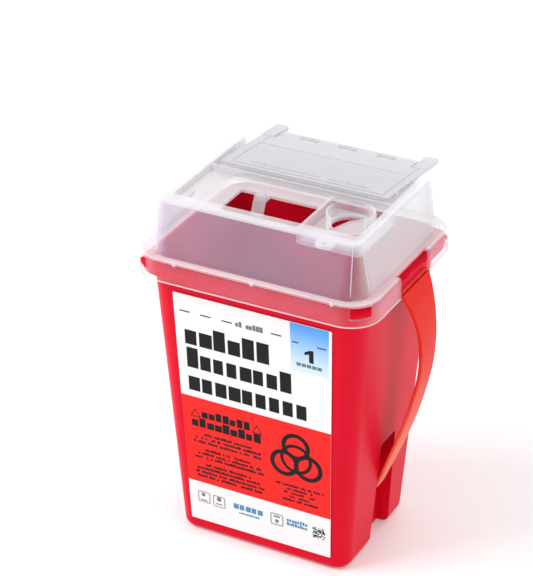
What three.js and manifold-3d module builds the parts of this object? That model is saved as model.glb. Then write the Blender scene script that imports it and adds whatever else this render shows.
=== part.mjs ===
// Sharps container: a drafted tub with a fold-down carry strap, and a clear press-on lid
// whose top carries a drop-in mouth, a needle well and a fold-over flap.
// Millimetres, +Z up, +X to the right of the label face, -Y out of the label face.
// The origin is the middle of the face that the tub stands on.
import * as THREE from "three";
import { mergeVertices } from "three/addons/utils/BufferGeometryUtils.js";
import Module from "manifold-3d";

const wasm = await Module();
wasm.setup();

// ---- Driving dimensions ----
const GAP = 0.3; // clearance between pieces that touch
const PAST = 2; // how far a cutting solid runs past the face that it cuts

// tub
const BASE_X = 39.8; // half width at the floor
const BASE_Y = 30.6; // half depth at the floor
const BASE_CORNER = 7;
const FOOT_ROUND = 3; // round along the bottom edge
const DRAFT = 0.0675; // every wall leans out by this share of its height
const CORNER_GROWTH = 0.022; // the upright corners open by this share of the height
const FLANGE_Z = 129; // underside of the flange
const FLANGE_HIGH = 3.6;
const FLANGE_OUT = 4.1; // beyond the wall
const RIM_UP = 3.4; // wall above the flange
const TUB_WALL = 1.5;
const TUB_FLOOR = 1.8;

// strap recess in the right wall
const RECESS_MID = 3.5; // y of its centre line
const RECESS_HIGH = 50;
const RECESS_TOP_HALF = 7;
const RECESS_FOOT_HALF = 9.5;
const RECESS_BACK = 5.3; // depth of its back wall in from the foot of the tub
const CATCH_OUT = 3.4; // strap catch, out of the back wall
const CATCH_HIGH = 3;
const CATCH_HALF = 3;

// strap
const STRAP_THICK = 1.6;
const STRAP_MID = 1;
const STRAP_ROOT = 1.2; // from the fold line to the strap's own top edge
const STRAP_WEB_R = 0.6;
const STRAP_HALF = 12.5; // half width at the top
const STRAP_SIDE = 1.5; // free space each side of the strap in the skirt
const HOOK_HIGH = 1.8;
const HOOK_HALF = 2.4;

// lid
const LID_WALL = 1.2;
const SKIRT_DOWN = 1.4; // skirt below the flange
const SKIRT_CORNER = 13.7;
const DOME_STEP = 0.4; // dome foot outside the tub's rim
const DOME_HIGH = 22.5;
const DOME_DRAFT = 0.168;
const DOME_FOOT_CORNER = 11.5;
const DOME_TOP_CORNER = 5;
const BAND_SIDE = 4.1; // flat band along the top's side edges
const BAND_FRONT = 8.4; // and along its front edge
const DECK_DOWN = 3.5; // deck with the mouth, below the band
const WELL_DECK_DOWN = 7.4; // deck that the needle well stands on
const REAR_DOWN = 4; // rear deck, under the open flap
const WINDOW_DOWN = 0.8; // top of a corner window, below the shoulder
const WINDOW_HIGH = 5.4;
const WINDOW_ARC = 0.77; // radians of the corner that a window takes
const BUMP_R = 1;
const BUMP_MID = 3; // x of the middle bump
const BUMP_STEP = 35.4;

// lid top
const MOUTH_LEFT = -22;
const MOUTH_RIGHT = 14.5;
const MOUTH_SILL = 2; // deck left in front of the mouth
const MOUTH_REAR = -5.6;
const DIVIDER_THICK = 1.2;
const DIVIDER_DOWN = 2.4; // its top, below the band
const WELL_X = 29.2;
const WELL_Y = -8.6;
const WELL_R = 9.3;
const WELL_WALL = 0.9;
const WELL_FLOOR = 1.2;
const WELL_DOWN = 0.4;
const WELL_HOLE_R = 8;
const WELL_OPEN_FROM = 4.2; // radians: the ring has no wall from here, at its front
const WELL_OPEN_TO = 5.75; // and to here
const TAB_X = 32.2;
const TAB_HALF = 4.3;
const TAB_OUT = 5.4;
const TAB_HOLE_R = 0.9;
const SLIT_X = -38;
const SLIT_Y = -19;
const SLIT_LONG = 6;
const SLIT_WIDE = 0.8;
const FINGER_X = -11.2;
const FINGER_WIDE = 5.4;
const FINGER_THICK = 1.1;
const FINGER_HIGH = 10;
const FINGER_LEAN = 0.44; // radians off upright
const FINGER_DOWN = 1.1; // its tip, below the band
const FINGER_OFF = 3.1; // its tip, in front of the mouth's rear edge

// flap
const HINGE_Y = 5.5;
const HINGE_UP = 0.3; // fold line above the band
const HINGE_RIB = 1.2;
const HINGE_RIB_DOWN = 0.7;
const FLAP_WEB_R = 0.4;
const FLAP_ROOT = 0.8;
const FLAP_THICK = 1.2;
const FLAP_LONG = 46.5;
const FLAP_HALF = 38.5;
const FLAP_DROOP = 0.087; // radians below level when it lies open
const ARM_WIDE = 6;
const ARM_PAST = 6.6;
const ARM_THICK = 1.8;
const ARM_SLIT = 0.9;
const ARM_LONG = 15; // free length of an arm
const SLOT_PITCH = 18;
const SLOT_LONG = 7;
const SLOT_WIDE = 2.6;
const SLOT_EDGE = 2; // flap left between a slot and the far edge
const NUB_R = 0.9;
const NUB_AT = [8.5, 21];

// label
const LABEL_LOW = 6.6;
const LABEL_DOWN = 7.2; // its top edge, below the flange
const LABEL_LOW_SIDE = 6.3; // its lower corners, in from the tub's half width at the floor
const LABEL_TOP_SIDE = 3.5; // and its upper corners
const LABEL_CORNER = 0.6;
const LABEL_THICK = 0.25;

// ---- Sizes that follow ----
const ARC = 7; // steps in each rounded corner
const RIM_Z = FLANGE_Z + FLANGE_HIGH + RIM_UP;
const SHOULDER_UNDER = RIM_Z + GAP;
const SHOULDER_Z = SHOULDER_UNDER + LID_WALL;
const TOP_Z = SHOULDER_Z + DOME_HIGH;
const SKIRT_Z = FLANGE_Z - SKIRT_DOWN;
const wallX = (z) => BASE_X + DRAFT * z;
const wallY = (z) => BASE_Y + DRAFT * z;
const FLANGE_X = wallX(FLANGE_Z) + FLANGE_OUT;
const FLANGE_Y = wallY(FLANGE_Z) + FLANGE_OUT;
const SKIRT_X = FLANGE_X + GAP + LID_WALL;
const SKIRT_Y = FLANGE_Y + GAP + LID_WALL;
const DOME_X = wallX(RIM_Z) + DOME_STEP;
const DOME_Y = wallY(RIM_Z) + DOME_STEP;
const TOP_X = DOME_X - DOME_DRAFT * DOME_HIGH;
const TOP_Y = DOME_Y - DOME_DRAFT * DOME_HIGH;
const POCKET_X = TOP_X - BAND_SIDE;
const POCKET_FRONT = -TOP_Y + BAND_FRONT;
const RIB_FRONT = HINGE_Y - GAP - HINGE_RIB;
const DECK_Z = TOP_Z - DECK_DOWN;
const WELL_DECK_Z = TOP_Z - WELL_DECK_DOWN;
const REAR_Z = TOP_Z - REAR_DOWN;
const HINGE_Z = TOP_Z + HINGE_UP;
const STRAP_FOLD_X = FLANGE_X + GAP + STRAP_WEB_R;
const STRAP_FOLD_Z = FLANGE_Z + STRAP_WEB_R + 0.2;
const CUT_HALF = STRAP_HALF + STRAP_SIDE;
const RECESS_X = BASE_X - RECESS_BACK;

// ---- Materials ----
const red = new THREE.MeshStandardMaterial({ color: 0xd4182b, roughness: 0.35, metalness: 0 });
const strapRed = new THREE.MeshStandardMaterial({ color: 0xe6352f, roughness: 0.4, metalness: 0 });
const clear = new THREE.MeshStandardMaterial({ color: 0xe9e9ee, roughness: 0.25, metalness: 0 });
const clearWeb = new THREE.MeshStandardMaterial({ color: 0xf4f4f6, roughness: 0.3, metalness: 0 });
const paper = new THREE.MeshStandardMaterial({ color: 0xfafafa, roughness: 0.45, metalness: 0 });

// ---- Solid helpers ----
// A three.js geometry as a manifold-3d solid.
function solid(geometry) {
  const bare = geometry.index ? geometry.toNonIndexed() : geometry.clone();
  bare.deleteAttribute("normal");
  bare.deleteAttribute("uv");
  const merged = mergeVertices(bare, 1e-4);
  return new wasm.Manifold(
    new wasm.Mesh({
      numProp: 3,
      vertProperties: merged.attributes.position.array,
      triVerts: new Uint32Array(merged.index.array),
    }),
  );
}

// A named mesh made from a solid.
function piece(name, shape, material) {
  const made = shape.getMesh();
  const geometry = new THREE.BufferGeometry();
  geometry.setAttribute("position", new THREE.BufferAttribute(made.vertProperties, 3));
  geometry.setIndex(new THREE.BufferAttribute(made.triVerts, 1));
  geometry.computeVertexNormals();
  const mesh = new THREE.Mesh(geometry, material);
  mesh.name = name;
  return mesh;
}

// A rounded block lofted through levels { z, x, y, r }: half sizes and corner radius at each height.
function loft(levels) {
  const outline = new THREE.Shape();
  outline.absarc(1, 1, 1, 0, Math.PI / 2);
  outline.absarc(-1, 1, 1, Math.PI / 2, Math.PI);
  outline.absarc(-1, -1, 1, Math.PI, 1.5 * Math.PI);
  outline.absarc(1, -1, 1, 1.5 * Math.PI, 2 * Math.PI);
  const steps = levels.length - 1;
  const geometry = new THREE.ExtrudeGeometry(outline, {
    depth: steps,
    steps,
    bevelEnabled: false,
    curveSegments: ARC,
  });
  const at = geometry.getAttribute("position");
  for (let i = 0; i < at.count; i += 1) {
    const level = levels[Math.round(at.getZ(i))];
    const sideX = Math.sign(at.getX(i));
    const sideY = Math.sign(at.getY(i));
    const x = sideX * (level.x - level.r) + level.r * (at.getX(i) - sideX);
    const y = sideY * (level.y - level.r) + level.r * (at.getY(i) - sideY);
    at.setXYZ(i, x, y, level.z);
  }
  return solid(geometry);
}

// A plain block between two corners.
function block(low, high) {
  const size = high.map((h, i) => h - low[i]);
  const geometry = new THREE.BoxGeometry(...size);
  geometry.translate(...low.map((l, i) => l + size[i] / 2));
  return solid(geometry);
}

// An upright round bar.
function bar(x, y, low, high, radius, sides = 40) {
  const geometry = new THREE.CylinderGeometry(radius, radius, high - low, sides);
  geometry.rotateX(Math.PI / 2);
  geometry.translate(x, y, (low + high) / 2);
  return solid(geometry);
}

// A flat outline raised from low to high.
function raised(outline, low, high, segments = 10) {
  const options = { depth: high - low, bevelEnabled: false, curveSegments: segments };
  const geometry = new THREE.ExtrudeGeometry(outline, options);
  geometry.translate(0, 0, low);
  return solid(geometry);
}

// A closed shape through corner points, each rounded by the radius.
function roundedShape(points, radius) {
  const shape = new THREE.Shape();
  const corner = (i) => new THREE.Vector2(...points[(i + points.length) % points.length]);
  for (let i = 0; i < points.length; i += 1) {
    const here = corner(i);
    const before = corner(i - 1).sub(here).setLength(radius).add(here);
    const after = corner(i + 1).sub(here).setLength(radius).add(here);
    if (i === 0) shape.moveTo(before.x, before.y);
    else shape.lineTo(before.x, before.y);
    shape.quadraticCurveTo(here.x, here.y, after.x, after.y);
  }
  shape.closePath();
  return shape;
}

// ---- Tub ----
function tubLevel(z, inset, cornerLess) {
  return {
    z,
    x: wallX(z) - inset,
    y: wallY(z) - inset,
    r: Math.max(BASE_CORNER + CORNER_GROWTH * z - cornerLess, 1),
  };
}

// The tub's own volume, from a bottom face at floorZ, set in by inset, up to topZ.
function tubVolume(floorZ, topZ, inset, round) {
  const levels = [];
  const turns = 3;
  for (let i = 0; i <= turns; i += 1) {
    const angle = (i / turns) * (Math.PI / 2);
    const less = round * (1 - Math.sin(angle));
    levels.push(tubLevel(floorZ + round * (1 - Math.cos(angle)), inset + less, inset + less));
  }
  levels.push(tubLevel(topZ, inset, inset));
  return loft(levels);
}

// The strap recess, or with grow the block of wall that it needs around it.
function recessVolume(grow) {
  const foot = RECESS_FOOT_HALF + grow;
  const top = RECESS_TOP_HALF + grow;
  const high = RECESS_HIGH + grow;
  const outline = roundedShape(
    [
      [RECESS_MID - foot, -PAST],
      [RECESS_MID + foot, -PAST],
      [RECESS_MID + top, high],
      [RECESS_MID - top, high],
    ],
    1.5,
  );
  const back = RECESS_X - grow;
  const geometry = new THREE.ExtrudeGeometry(outline, {
    depth: wallX(RECESS_HIGH) + PAST - back,
    bevelEnabled: false,
    curveSegments: 5,
  });
  geometry.rotateX(Math.PI / 2);
  geometry.rotateZ(Math.PI / 2);
  geometry.translate(back, 0, 0);
  return solid(geometry);
}

// One flange level all round the wall.
function flangeLevel(z, less) {
  const r = SKIRT_CORNER - LID_WALL - GAP;
  return { z, x: FLANGE_X - less, y: FLANGE_Y - less, r: r - less };
}

// The piece of ring that a corner window shows, cut by a wedge at the corner's middle.
function cornerWedge(sideX, sideY, half, low, high) {
  const r = SKIRT_CORNER;
  const reach = r + PAST;
  const middle = Math.PI / 4;
  const wedge = new THREE.Shape();
  wedge.moveTo(2, 2);
  wedge.lineTo(reach * Math.cos(middle - half), reach * Math.sin(middle - half));
  wedge.lineTo(reach * 1.2 * Math.cos(middle), reach * 1.2 * Math.sin(middle));
  wedge.lineTo(reach * Math.cos(middle + half), reach * Math.sin(middle + half));
  wedge.closePath();
  const turn = Math.atan2(sideY, sideX) - middle;
  return raised(wedge, low, high)
    .rotate([0, 0, (turn * 180) / Math.PI])
    .translate([sideX * (SKIRT_X - r), sideY * (SKIRT_Y - r), 0]);
}

const CORNERS = [
  [1, 1],
  [-1, 1],
  [-1, -1],
  [1, -1],
];
const WINDOW_TOP = SHOULDER_Z - WINDOW_DOWN;
const WINDOW_LOW = WINDOW_TOP - WINDOW_HIGH;

function makeTub() {
  const outside = tubVolume(0, RIM_Z, 0, FOOT_ROUND);
  const inside = tubVolume(TUB_FLOOR, RIM_Z + PAST, TUB_WALL, FOOT_ROUND - 1);
  const recess = recessVolume(0);
  const recessWall = recessVolume(TUB_WALL).intersect(outside);
  let tub = outside.subtract(inside).add(recessWall).subtract(recess);
  const catchZ = HOOK_TOP + GAP;
  const catchBar = block(
    [RECESS_X - TUB_WALL / 2, STRAP_MID - CATCH_HALF, catchZ],
    [RECESS_X + CATCH_OUT, STRAP_MID + CATCH_HALF, catchZ + CATCH_HIGH],
  );
  tub = tub.add(catchBar);

  const edge = 0.5;
  const flange = loft([
    flangeLevel(FLANGE_Z, 0),
    flangeLevel(FLANGE_Z + FLANGE_HIGH - edge, 0),
    flangeLevel(FLANGE_Z + FLANGE_HIGH, edge),
  ]);
  const opening = tubVolume(FLANGE_Z - PAST, RIM_Z, TUB_WALL, 1);
  tub = tub.add(flange.subtract(opening));

  // a lug of the flange stands in each corner window
  const lugRing = loft([
    { z: WINDOW_LOW + GAP, x: SKIRT_X - GAP, y: SKIRT_Y - GAP, r: SKIRT_CORNER - GAP },
    { z: FLANGE_Z + FLANGE_HIGH, x: SKIRT_X - GAP, y: SKIRT_Y - GAP, r: SKIRT_CORNER - GAP },
  ]);
  const lugHalf = WINDOW_ARC / 2 - 0.06;
  for (const [sideX, sideY] of CORNERS) {
    const wedge = cornerWedge(sideX, sideY, lugHalf, WINDOW_LOW, RIM_Z);
    tub = tub.add(lugRing.intersect(wedge).subtract(opening));
  }
  return tub;
}

// ---- Strap ----
// Side view of the strap's middle line below its root, down to its tucked end: share of the
// fold's height, and how far the line stands out of the tub's wall there.
const strapBow = [
  [0.922, 9.7],
  [0.84, 12.8],
  [0.763, 14],
  [0.678, 13.9],
  [0.578, 12],
  [0.485, 9.5],
  [0.393, 6.2],
  [0.308, 2.8],
  [0.2465, 0.24],
  [0.2157, -1.09],
].map(([share, out]) => {
  const z = share * STRAP_FOLD_Z;
  return new THREE.Vector2(wallX(z) + out, z);
});
const strapRoot = new THREE.Vector2(STRAP_FOLD_X + 0.4, STRAP_FOLD_Z - STRAP_ROOT);
const strapLine = new THREE.SplineCurve([strapRoot, ...strapBow]);
const STRAP_END = strapLine.getPoint(1);
const HOOK_TOP = STRAP_END.y + HOOK_HIGH / 2 + 0.4;

// Half width of the strap against the share of the fold's height.
const strapWidths = [
  [1.015, STRAP_HALF],
  [0.977, STRAP_HALF],
  [0.925, 10.6],
  [0.847, 8.5],
  [0.77, 7.5],
  [0.678, 6.9],
  [0.508, 6.9],
  [0.37, 6.6],
  [0.3, 5.4],
  [0.254, 4.3],
  [0.154, 4],
];

function makeStrap() {
  const steps = 26;
  const outer = [];
  const inner = [];
  for (let i = 0; i <= steps; i += 1) {
    const p = strapLine.getPoint(i / steps);
    const along = strapLine.getTangent(i / steps);
    outer.push(new THREE.Vector2(p.x - (along.y * STRAP_THICK) / 2, p.y + (along.x * STRAP_THICK) / 2));
    inner.push(new THREE.Vector2(p.x + (along.y * STRAP_THICK) / 2, p.y - (along.x * STRAP_THICK) / 2));
  }
  const side = new THREE.Shape([...outer, ...inner.reverse()]);
  const wide = 2 * STRAP_HALF + PAST;
  const strip = new THREE.ExtrudeGeometry(side, { depth: wide, bevelEnabled: false });
  strip.rotateX(Math.PI / 2);
  strip.translate(0, STRAP_MID + wide / 2, 0);

  const edge = new THREE.SplineCurve(
    strapWidths.map(([share, half]) => new THREE.Vector2(half, share * STRAP_FOLD_Z)),
  );
  const right = edge.getPoints(30);
  const left = right.map((p) => new THREE.Vector2(-p.x, p.y)).reverse();
  const face = new THREE.ExtrudeGeometry(new THREE.Shape([...right, ...left]), {
    depth: 2 * STRAP_FOLD_X,
    bevelEnabled: false,
  });
  face.rotateX(Math.PI / 2);
  face.rotateZ(Math.PI / 2);
  face.translate(0, STRAP_MID, 0);

  const hook = block(
    [RECESS_X + CATCH_OUT - 2, STRAP_MID - HOOK_HALF, HOOK_TOP - HOOK_HIGH],
    [STRAP_END.x + STRAP_THICK / 4, STRAP_MID + HOOK_HALF, HOOK_TOP],
  );
  return solid(strip).intersect(solid(face)).add(hook);
}

// ---- Lid ----
// The dome's outer volume, set in by inset, between two heights.
function domeVolume(low, high, inset) {
  const level = (z) => {
    const up = (z - SHOULDER_Z) / DOME_HIGH;
    const lean = DOME_DRAFT * (z - SHOULDER_Z);
    const r = DOME_FOOT_CORNER + (DOME_TOP_CORNER - DOME_FOOT_CORNER) * up - inset;
    return { z, x: DOME_X - lean - inset, y: DOME_Y - lean - inset, r: Math.max(r, 1) };
  };
  return loft([level(low), level(high)]);
}

// The pockets sunk in the lid's top, or with grow the wall that they need around them.
function topPockets(grow) {
  const right = MOUTH_RIGHT + DIVIDER_THICK;
  const top = TOP_Z + PAST;
  const left = block(
    [-POCKET_X - grow, POCKET_FRONT - grow, DECK_Z - grow],
    [MOUTH_RIGHT + grow, RIB_FRONT + grow, top],
  );
  const well = block(
    [right - grow, POCKET_FRONT - grow, WELL_DECK_Z - grow],
    [POCKET_X + grow, RIB_FRONT + grow, top],
  );
  const rear = block(
    [-POCKET_X - grow, RIB_FRONT + HINGE_RIB - grow, REAR_Z - grow],
    [POCKET_X + grow, DOME_Y + PAST, top],
  );
  return left.add(well).add(rear);
}

// The rounded tab on the lid's front edge, with its small hole.
function frontTab() {
  const front = -TOP_Y;
  const outline = roundedShape(
    [
      [TAB_X - TAB_HALF, front + 1],
      [TAB_X - TAB_HALF + 0.9, front - TAB_OUT + 1],
      [TAB_X - 1, front - TAB_OUT],
      [TAB_X + TAB_HALF - 1, front - TAB_OUT + 0.6],
      [TAB_X + TAB_HALF, front + 1],
    ],
    0.9,
  );
  const low = TOP_Z - LID_WALL;
  const hole = bar(TAB_X, front - TAB_OUT / 2, low - PAST, TOP_Z + PAST, TAB_HOLE_R, 16);
  return raised(outline, low, TOP_Z, 4).subtract(hole);
}

function makeLid() {
  const skirt = loft([
    { z: SKIRT_Z, x: SKIRT_X, y: SKIRT_Y, r: SKIRT_CORNER },
    { z: SHOULDER_Z - 1, x: SKIRT_X, y: SKIRT_Y, r: SKIRT_CORNER },
    { z: SHOULDER_Z - 0.3, x: SKIRT_X - 0.3, y: SKIRT_Y - 0.3, r: SKIRT_CORNER - 0.3 },
    { z: SHOULDER_Z, x: SKIRT_X - 1, y: SKIRT_Y - 1, r: SKIRT_CORNER - 1 },
  ]);
  const skirtInside = loft([
    { z: SKIRT_Z - PAST, x: FLANGE_X + GAP, y: FLANGE_Y + GAP, r: SKIRT_CORNER - LID_WALL },
    { z: SHOULDER_UNDER, x: FLANGE_X + GAP, y: FLANGE_Y + GAP, r: SKIRT_CORNER - LID_WALL },
  ]);
  const dome = domeVolume(SHOULDER_Z - LID_WALL / 2, TOP_Z, 0);
  const domeInside = domeVolume(SHOULDER_UNDER - PAST / 4, TOP_Z - LID_WALL, LID_WALL);
  const pockets = topPockets(0);
  const pocketWalls = topPockets(LID_WALL).intersect(dome);

  let lid = skirt.add(dome).subtract(skirtInside).subtract(domeInside);
  lid = lid.add(pocketWalls).subtract(pockets);
  lid = lid.add(frontTab());

  // hinge rib and divider keep a little below the band
  const ribTop = block(
    [-POCKET_X, RIB_FRONT - LID_WALL, HINGE_Z - HINGE_RIB_DOWN - HINGE_UP],
    [POCKET_X, RIB_FRONT + HINGE_RIB + LID_WALL, TOP_Z + PAST],
  );
  const dividerTop = block(
    [MOUTH_RIGHT - LID_WALL, POCKET_FRONT, TOP_Z - DIVIDER_DOWN],
    [MOUTH_RIGHT + DIVIDER_THICK + LID_WALL, RIB_FRONT, TOP_Z + PAST],
  );
  lid = lid.subtract(ribTop).subtract(dividerTop);

  // openings
  const mouth = block(
    [MOUTH_LEFT, POCKET_FRONT + MOUTH_SILL, DECK_Z - LID_WALL - PAST],
    [MOUTH_RIGHT, MOUTH_REAR, TOP_Z],
  );
  const wellHole = bar(WELL_X, WELL_Y, WELL_DECK_Z - PAST, WELL_DECK_Z + PAST, WELL_R - 0.5);
  const slit = block(
    [SLIT_X - SLIT_WIDE / 2, SLIT_Y - SLIT_LONG / 2, DECK_Z - PAST],
    [SLIT_X + SLIT_WIDE / 2, SLIT_Y + SLIT_LONG / 2, DECK_Z + PAST],
  );
  lid = lid.subtract(mouth).subtract(wellHole).subtract(slit);

  // the skirt opens for the strap, and at each corner for a lug
  const strapCut = block(
    [FLANGE_X - 1.4, STRAP_MID - CUT_HALF, SKIRT_Z - PAST],
    [SKIRT_X + PAST, STRAP_MID + CUT_HALF, SHOULDER_Z + PAST],
  );
  lid = lid.subtract(strapCut);
  for (const [sideX, sideY] of CORNERS) {
    lid = lid.subtract(cornerWedge(sideX, sideY, WINDOW_ARC / 2, WINDOW_LOW, WINDOW_TOP));
  }

  // three small bumps along the front of the shoulder
  for (const step of [-1, 0, 1]) {
    const x = BUMP_MID + step * BUMP_STEP;
    const bump = new THREE.SphereGeometry(BUMP_R, 12, 8);
    bump.translate(x, -SKIRT_Y + BUMP_R / 2, SHOULDER_Z - BUMP_R / 2);
    lid = lid.add(solid(bump).subtract(skirtInside));
  }
  return lid;
}

// ---- Needle well: a ring open at its front, with a floor cut away at the left and rear ----
function makeWell() {
  const low = WELL_DECK_Z + GAP;
  const high = TOP_Z - WELL_DOWN;
  const cup = bar(WELL_X, WELL_Y, low, high, WELL_R + WELL_WALL, 48);
  const bore = bar(WELL_X, WELL_Y, low + WELL_FLOOR, high + PAST, WELL_R, 48);
  const hole = new THREE.Shape();
  hole.absarc(0, 0, WELL_HOLE_R, 1.12, 4.1);
  hole.lineTo(-WELL_HOLE_R * 0.33, -WELL_HOLE_R * 0.12);
  hole.lineTo(-WELL_HOLE_R * 0.2, WELL_HOLE_R * 0.24);
  hole.closePath();
  const cut = raised(hole, low - PAST, high, 24).translate([WELL_X, WELL_Y, 0]);
  const reach = 2 * WELL_R;
  const front = new THREE.Shape();
  front.moveTo(0, 0);
  front.lineTo(reach * Math.cos(WELL_OPEN_FROM), reach * Math.sin(WELL_OPEN_FROM));
  front.lineTo(reach * Math.cos(WELL_OPEN_TO), reach * Math.sin(WELL_OPEN_TO));
  front.closePath();
  const opening = raised(front, low + WELL_FLOOR, high + PAST, 4).translate([WELL_X, WELL_Y, 0]);
  return cup.subtract(bore).subtract(cut).subtract(opening);
}

// ---- Finger that hangs in the mouth ----
function makeFinger() {
  const plate = new THREE.BoxGeometry(FINGER_WIDE, FINGER_THICK, FINGER_HIGH);
  plate.translate(0, 0, -FINGER_HIGH / 2);
  plate.rotateX(-FINGER_LEAN);
  plate.translate(FINGER_X, MOUTH_REAR - FINGER_OFF, TOP_Z - FINGER_DOWN);
  const foot = block(
    [FINGER_X - FINGER_WIDE / 2, MOUTH_REAR - FINGER_OFF - FINGER_THICK * 1.2, DECK_Z - LID_WALL],
    [FINGER_X + FINGER_WIDE / 2, MOUTH_REAR - GAP, DECK_Z],
  );
  return solid(plate).add(foot);
}

// ---- Flap, drawn flat: x along the fold, y away from it ----
function makeFlap() {
  const far = FLAP_LONG;
  const panelShape = roundedShape(
    [
      [-FLAP_HALF, FLAP_ROOT],
      [FLAP_HALF, FLAP_ROOT],
      [FLAP_HALF, far],
      [-FLAP_HALF, far],
    ],
    1,
  );
  let flap = raised(panelShape, -FLAP_THICK / 2, FLAP_THICK / 2, 3);
  const slitInner = FLAP_HALF - ARM_WIDE - ARM_SLIT;
  const armLow = far + ARM_PAST - ARM_LONG;
  for (const side of [-1, 1]) {
    const outer = side * FLAP_HALF;
    const inner = side * (FLAP_HALF - ARM_WIDE);
    const armShape = roundedShape(
      [
        [Math.min(outer, inner), armLow],
        [Math.max(outer, inner), armLow],
        [Math.max(outer, inner), far + ARM_PAST],
        [Math.min(outer, inner), far + ARM_PAST],
      ],
      1.4,
    );
    flap = flap.add(raised(armShape, -ARM_THICK / 2, ARM_THICK / 2, 3));
    const slit = block(
      [Math.min(inner, side * slitInner), armLow, -PAST],
      [Math.max(inner, side * slitInner), far + PAST, PAST],
    );
    flap = flap.subtract(slit);
    for (const at of NUB_AT) {
      flap = flap.add(bar(outer, at, -FLAP_THICK / 2, FLAP_THICK / 2, NUB_R, 12));
    }
  }
  for (const step of [-1, 0, 1]) {
    const x = step * SLOT_PITCH;
    const top = far - SLOT_EDGE;
    const slot = roundedShape(
      [
        [x - SLOT_LONG / 2, top - SLOT_WIDE],
        [x + SLOT_LONG / 2, top - SLOT_WIDE],
        [x + SLOT_LONG / 2, top],
        [x - SLOT_LONG / 2, top],
      ],
      0.6,
    );
    flap = flap.subtract(raised(slot, -PAST, PAST, 3));
  }
  return flap;
}

// ---- Label, drawn flat: x across, y up the front wall ----
function makeLabel() {
  const lowHalf = BASE_X - LABEL_LOW_SIDE;
  const topHalf = BASE_X - LABEL_TOP_SIDE;
  const outline = roundedShape(
    [
      [-lowHalf, LABEL_LOW],
      [lowHalf, LABEL_LOW],
      [topHalf, FLANGE_Z - LABEL_DOWN],
      [-topHalf, FLANGE_Z - LABEL_DOWN],
    ],
    LABEL_CORNER,
  );
  return raised(outline, 0, LABEL_THICK, 4);
}

// ---- Assembly ----
const container = new THREE.Group();

container.add(piece("tub", makeTub(), red));
container.add(piece("lid", makeLid(), clear));
container.add(piece("needle_well", makeWell(), clear));
container.add(piece("mouth_finger", makeFinger(), clear));

const label = piece("front_label", makeLabel(), paper);
label.rotation.x = Math.PI / 2 + Math.atan(DRAFT);
label.position.set(0, -BASE_Y - GAP, 0);
container.add(label);

const flap = piece("flap", makeFlap(), clear);
flap.rotation.x = -FLAP_DROOP;
flap.position.set(0, HINGE_Y, HINGE_Z);
container.add(flap);

const flapWeb = bar(0, 0, -FLAP_HALF + 1, FLAP_HALF - 1, FLAP_WEB_R, 8);
const flapFold = piece("flap_hinge_web", flapWeb, clearWeb);
flapFold.rotation.y = Math.PI / 2;
flapFold.position.set(0, HINGE_Y, HINGE_Z);
container.add(flapFold);

container.add(piece("strap", makeStrap(), strapRed));

const strapWeb = bar(0, 0, -STRAP_HALF + 0.5, STRAP_HALF - 0.5, STRAP_WEB_R, 10);
const strapFold = piece("strap_hinge_web", strapWeb, strapRed);
strapFold.rotation.x = Math.PI / 2;
strapFold.position.set(STRAP_FOLD_X, STRAP_MID, STRAP_FOLD_Z);
container.add(strapFold);

export default container;
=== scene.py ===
# %% [markdown]
# # A sharps container
# A red drafted tub with a fold-down carry strap, under a cloudy clear lid. The lid's top has a
# drop-in mouth, a needle well and a fold-over flap. The lesson builds every visible piece around
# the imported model, which fixes where things are and how they move.

# %% Load the fixed frame
import math

import bmesh
import bpy
from mathutils import Matrix, Vector


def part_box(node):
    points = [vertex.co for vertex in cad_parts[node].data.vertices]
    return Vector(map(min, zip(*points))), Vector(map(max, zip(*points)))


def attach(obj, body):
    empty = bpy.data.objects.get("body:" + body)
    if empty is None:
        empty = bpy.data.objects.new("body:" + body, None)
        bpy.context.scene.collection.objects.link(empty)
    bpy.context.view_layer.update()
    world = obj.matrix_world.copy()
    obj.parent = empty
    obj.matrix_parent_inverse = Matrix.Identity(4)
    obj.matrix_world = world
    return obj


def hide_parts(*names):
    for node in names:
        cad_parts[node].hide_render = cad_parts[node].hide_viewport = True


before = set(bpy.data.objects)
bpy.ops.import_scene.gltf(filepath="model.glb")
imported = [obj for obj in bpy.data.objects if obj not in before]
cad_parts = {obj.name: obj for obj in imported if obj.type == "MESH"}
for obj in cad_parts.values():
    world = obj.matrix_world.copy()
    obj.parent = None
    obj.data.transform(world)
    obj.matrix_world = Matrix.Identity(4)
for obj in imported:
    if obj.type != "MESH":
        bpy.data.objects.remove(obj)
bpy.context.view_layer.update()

# %% [markdown]
# ## Sizes
# Blender works in metres and a moulder in millimetres. The pieces are built in millimetres and
# made small once, at the end, so the sizes here read like a drawing's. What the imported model
# can tell is read from it, and the rest are the moulding's own sizes.

# %% Sizes in millimetres
MM = 0.001


def box_mm(node):
    """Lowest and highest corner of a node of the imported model, in millimetres."""
    low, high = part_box(node)
    return low / MM, high / MM


RIM_Z = box_mm("tub")[1].z
lid_low, lid_high = box_mm("lid")
well_low, well_high = box_mm("needle_well")
web_low, web_high = box_mm("flap_hinge_web")
fold_low, fold_high = box_mm("strap_hinge_web")

SKIRT_X = lid_high.x
SKIRT_Y = lid_high.y
SKIRT_Z = lid_low.z
TOP_Z = lid_high.z
FOLD = (fold_low + fold_high) / 2
HINGE = (web_low + web_high) / 2
WELL = (well_low + well_high) / 2

GAP = 0.3
DRAFT = 0.0675
BASE_X = 39.8
BASE_Y = 30.6
BASE_CORNER = 7
CORNER_GROWTH = 0.022
TUB_WALL = 1.5
TUB_FLOOR = 1.8
LID_WALL = 1.2
FLANGE_OUT = 4.1
SKIRT_DOWN = 1.4
FLANGE_Z = SKIRT_Z + SKIRT_DOWN
FLANGE_HIGH = 3.6
FLANGE_TOP = FLANGE_Z + FLANGE_HIGH
SHOULDER_Z = RIM_Z + GAP + LID_WALL
SKIRT_CORNER = 13.7


def wall_x(z):
    return BASE_X + DRAFT * z


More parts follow.
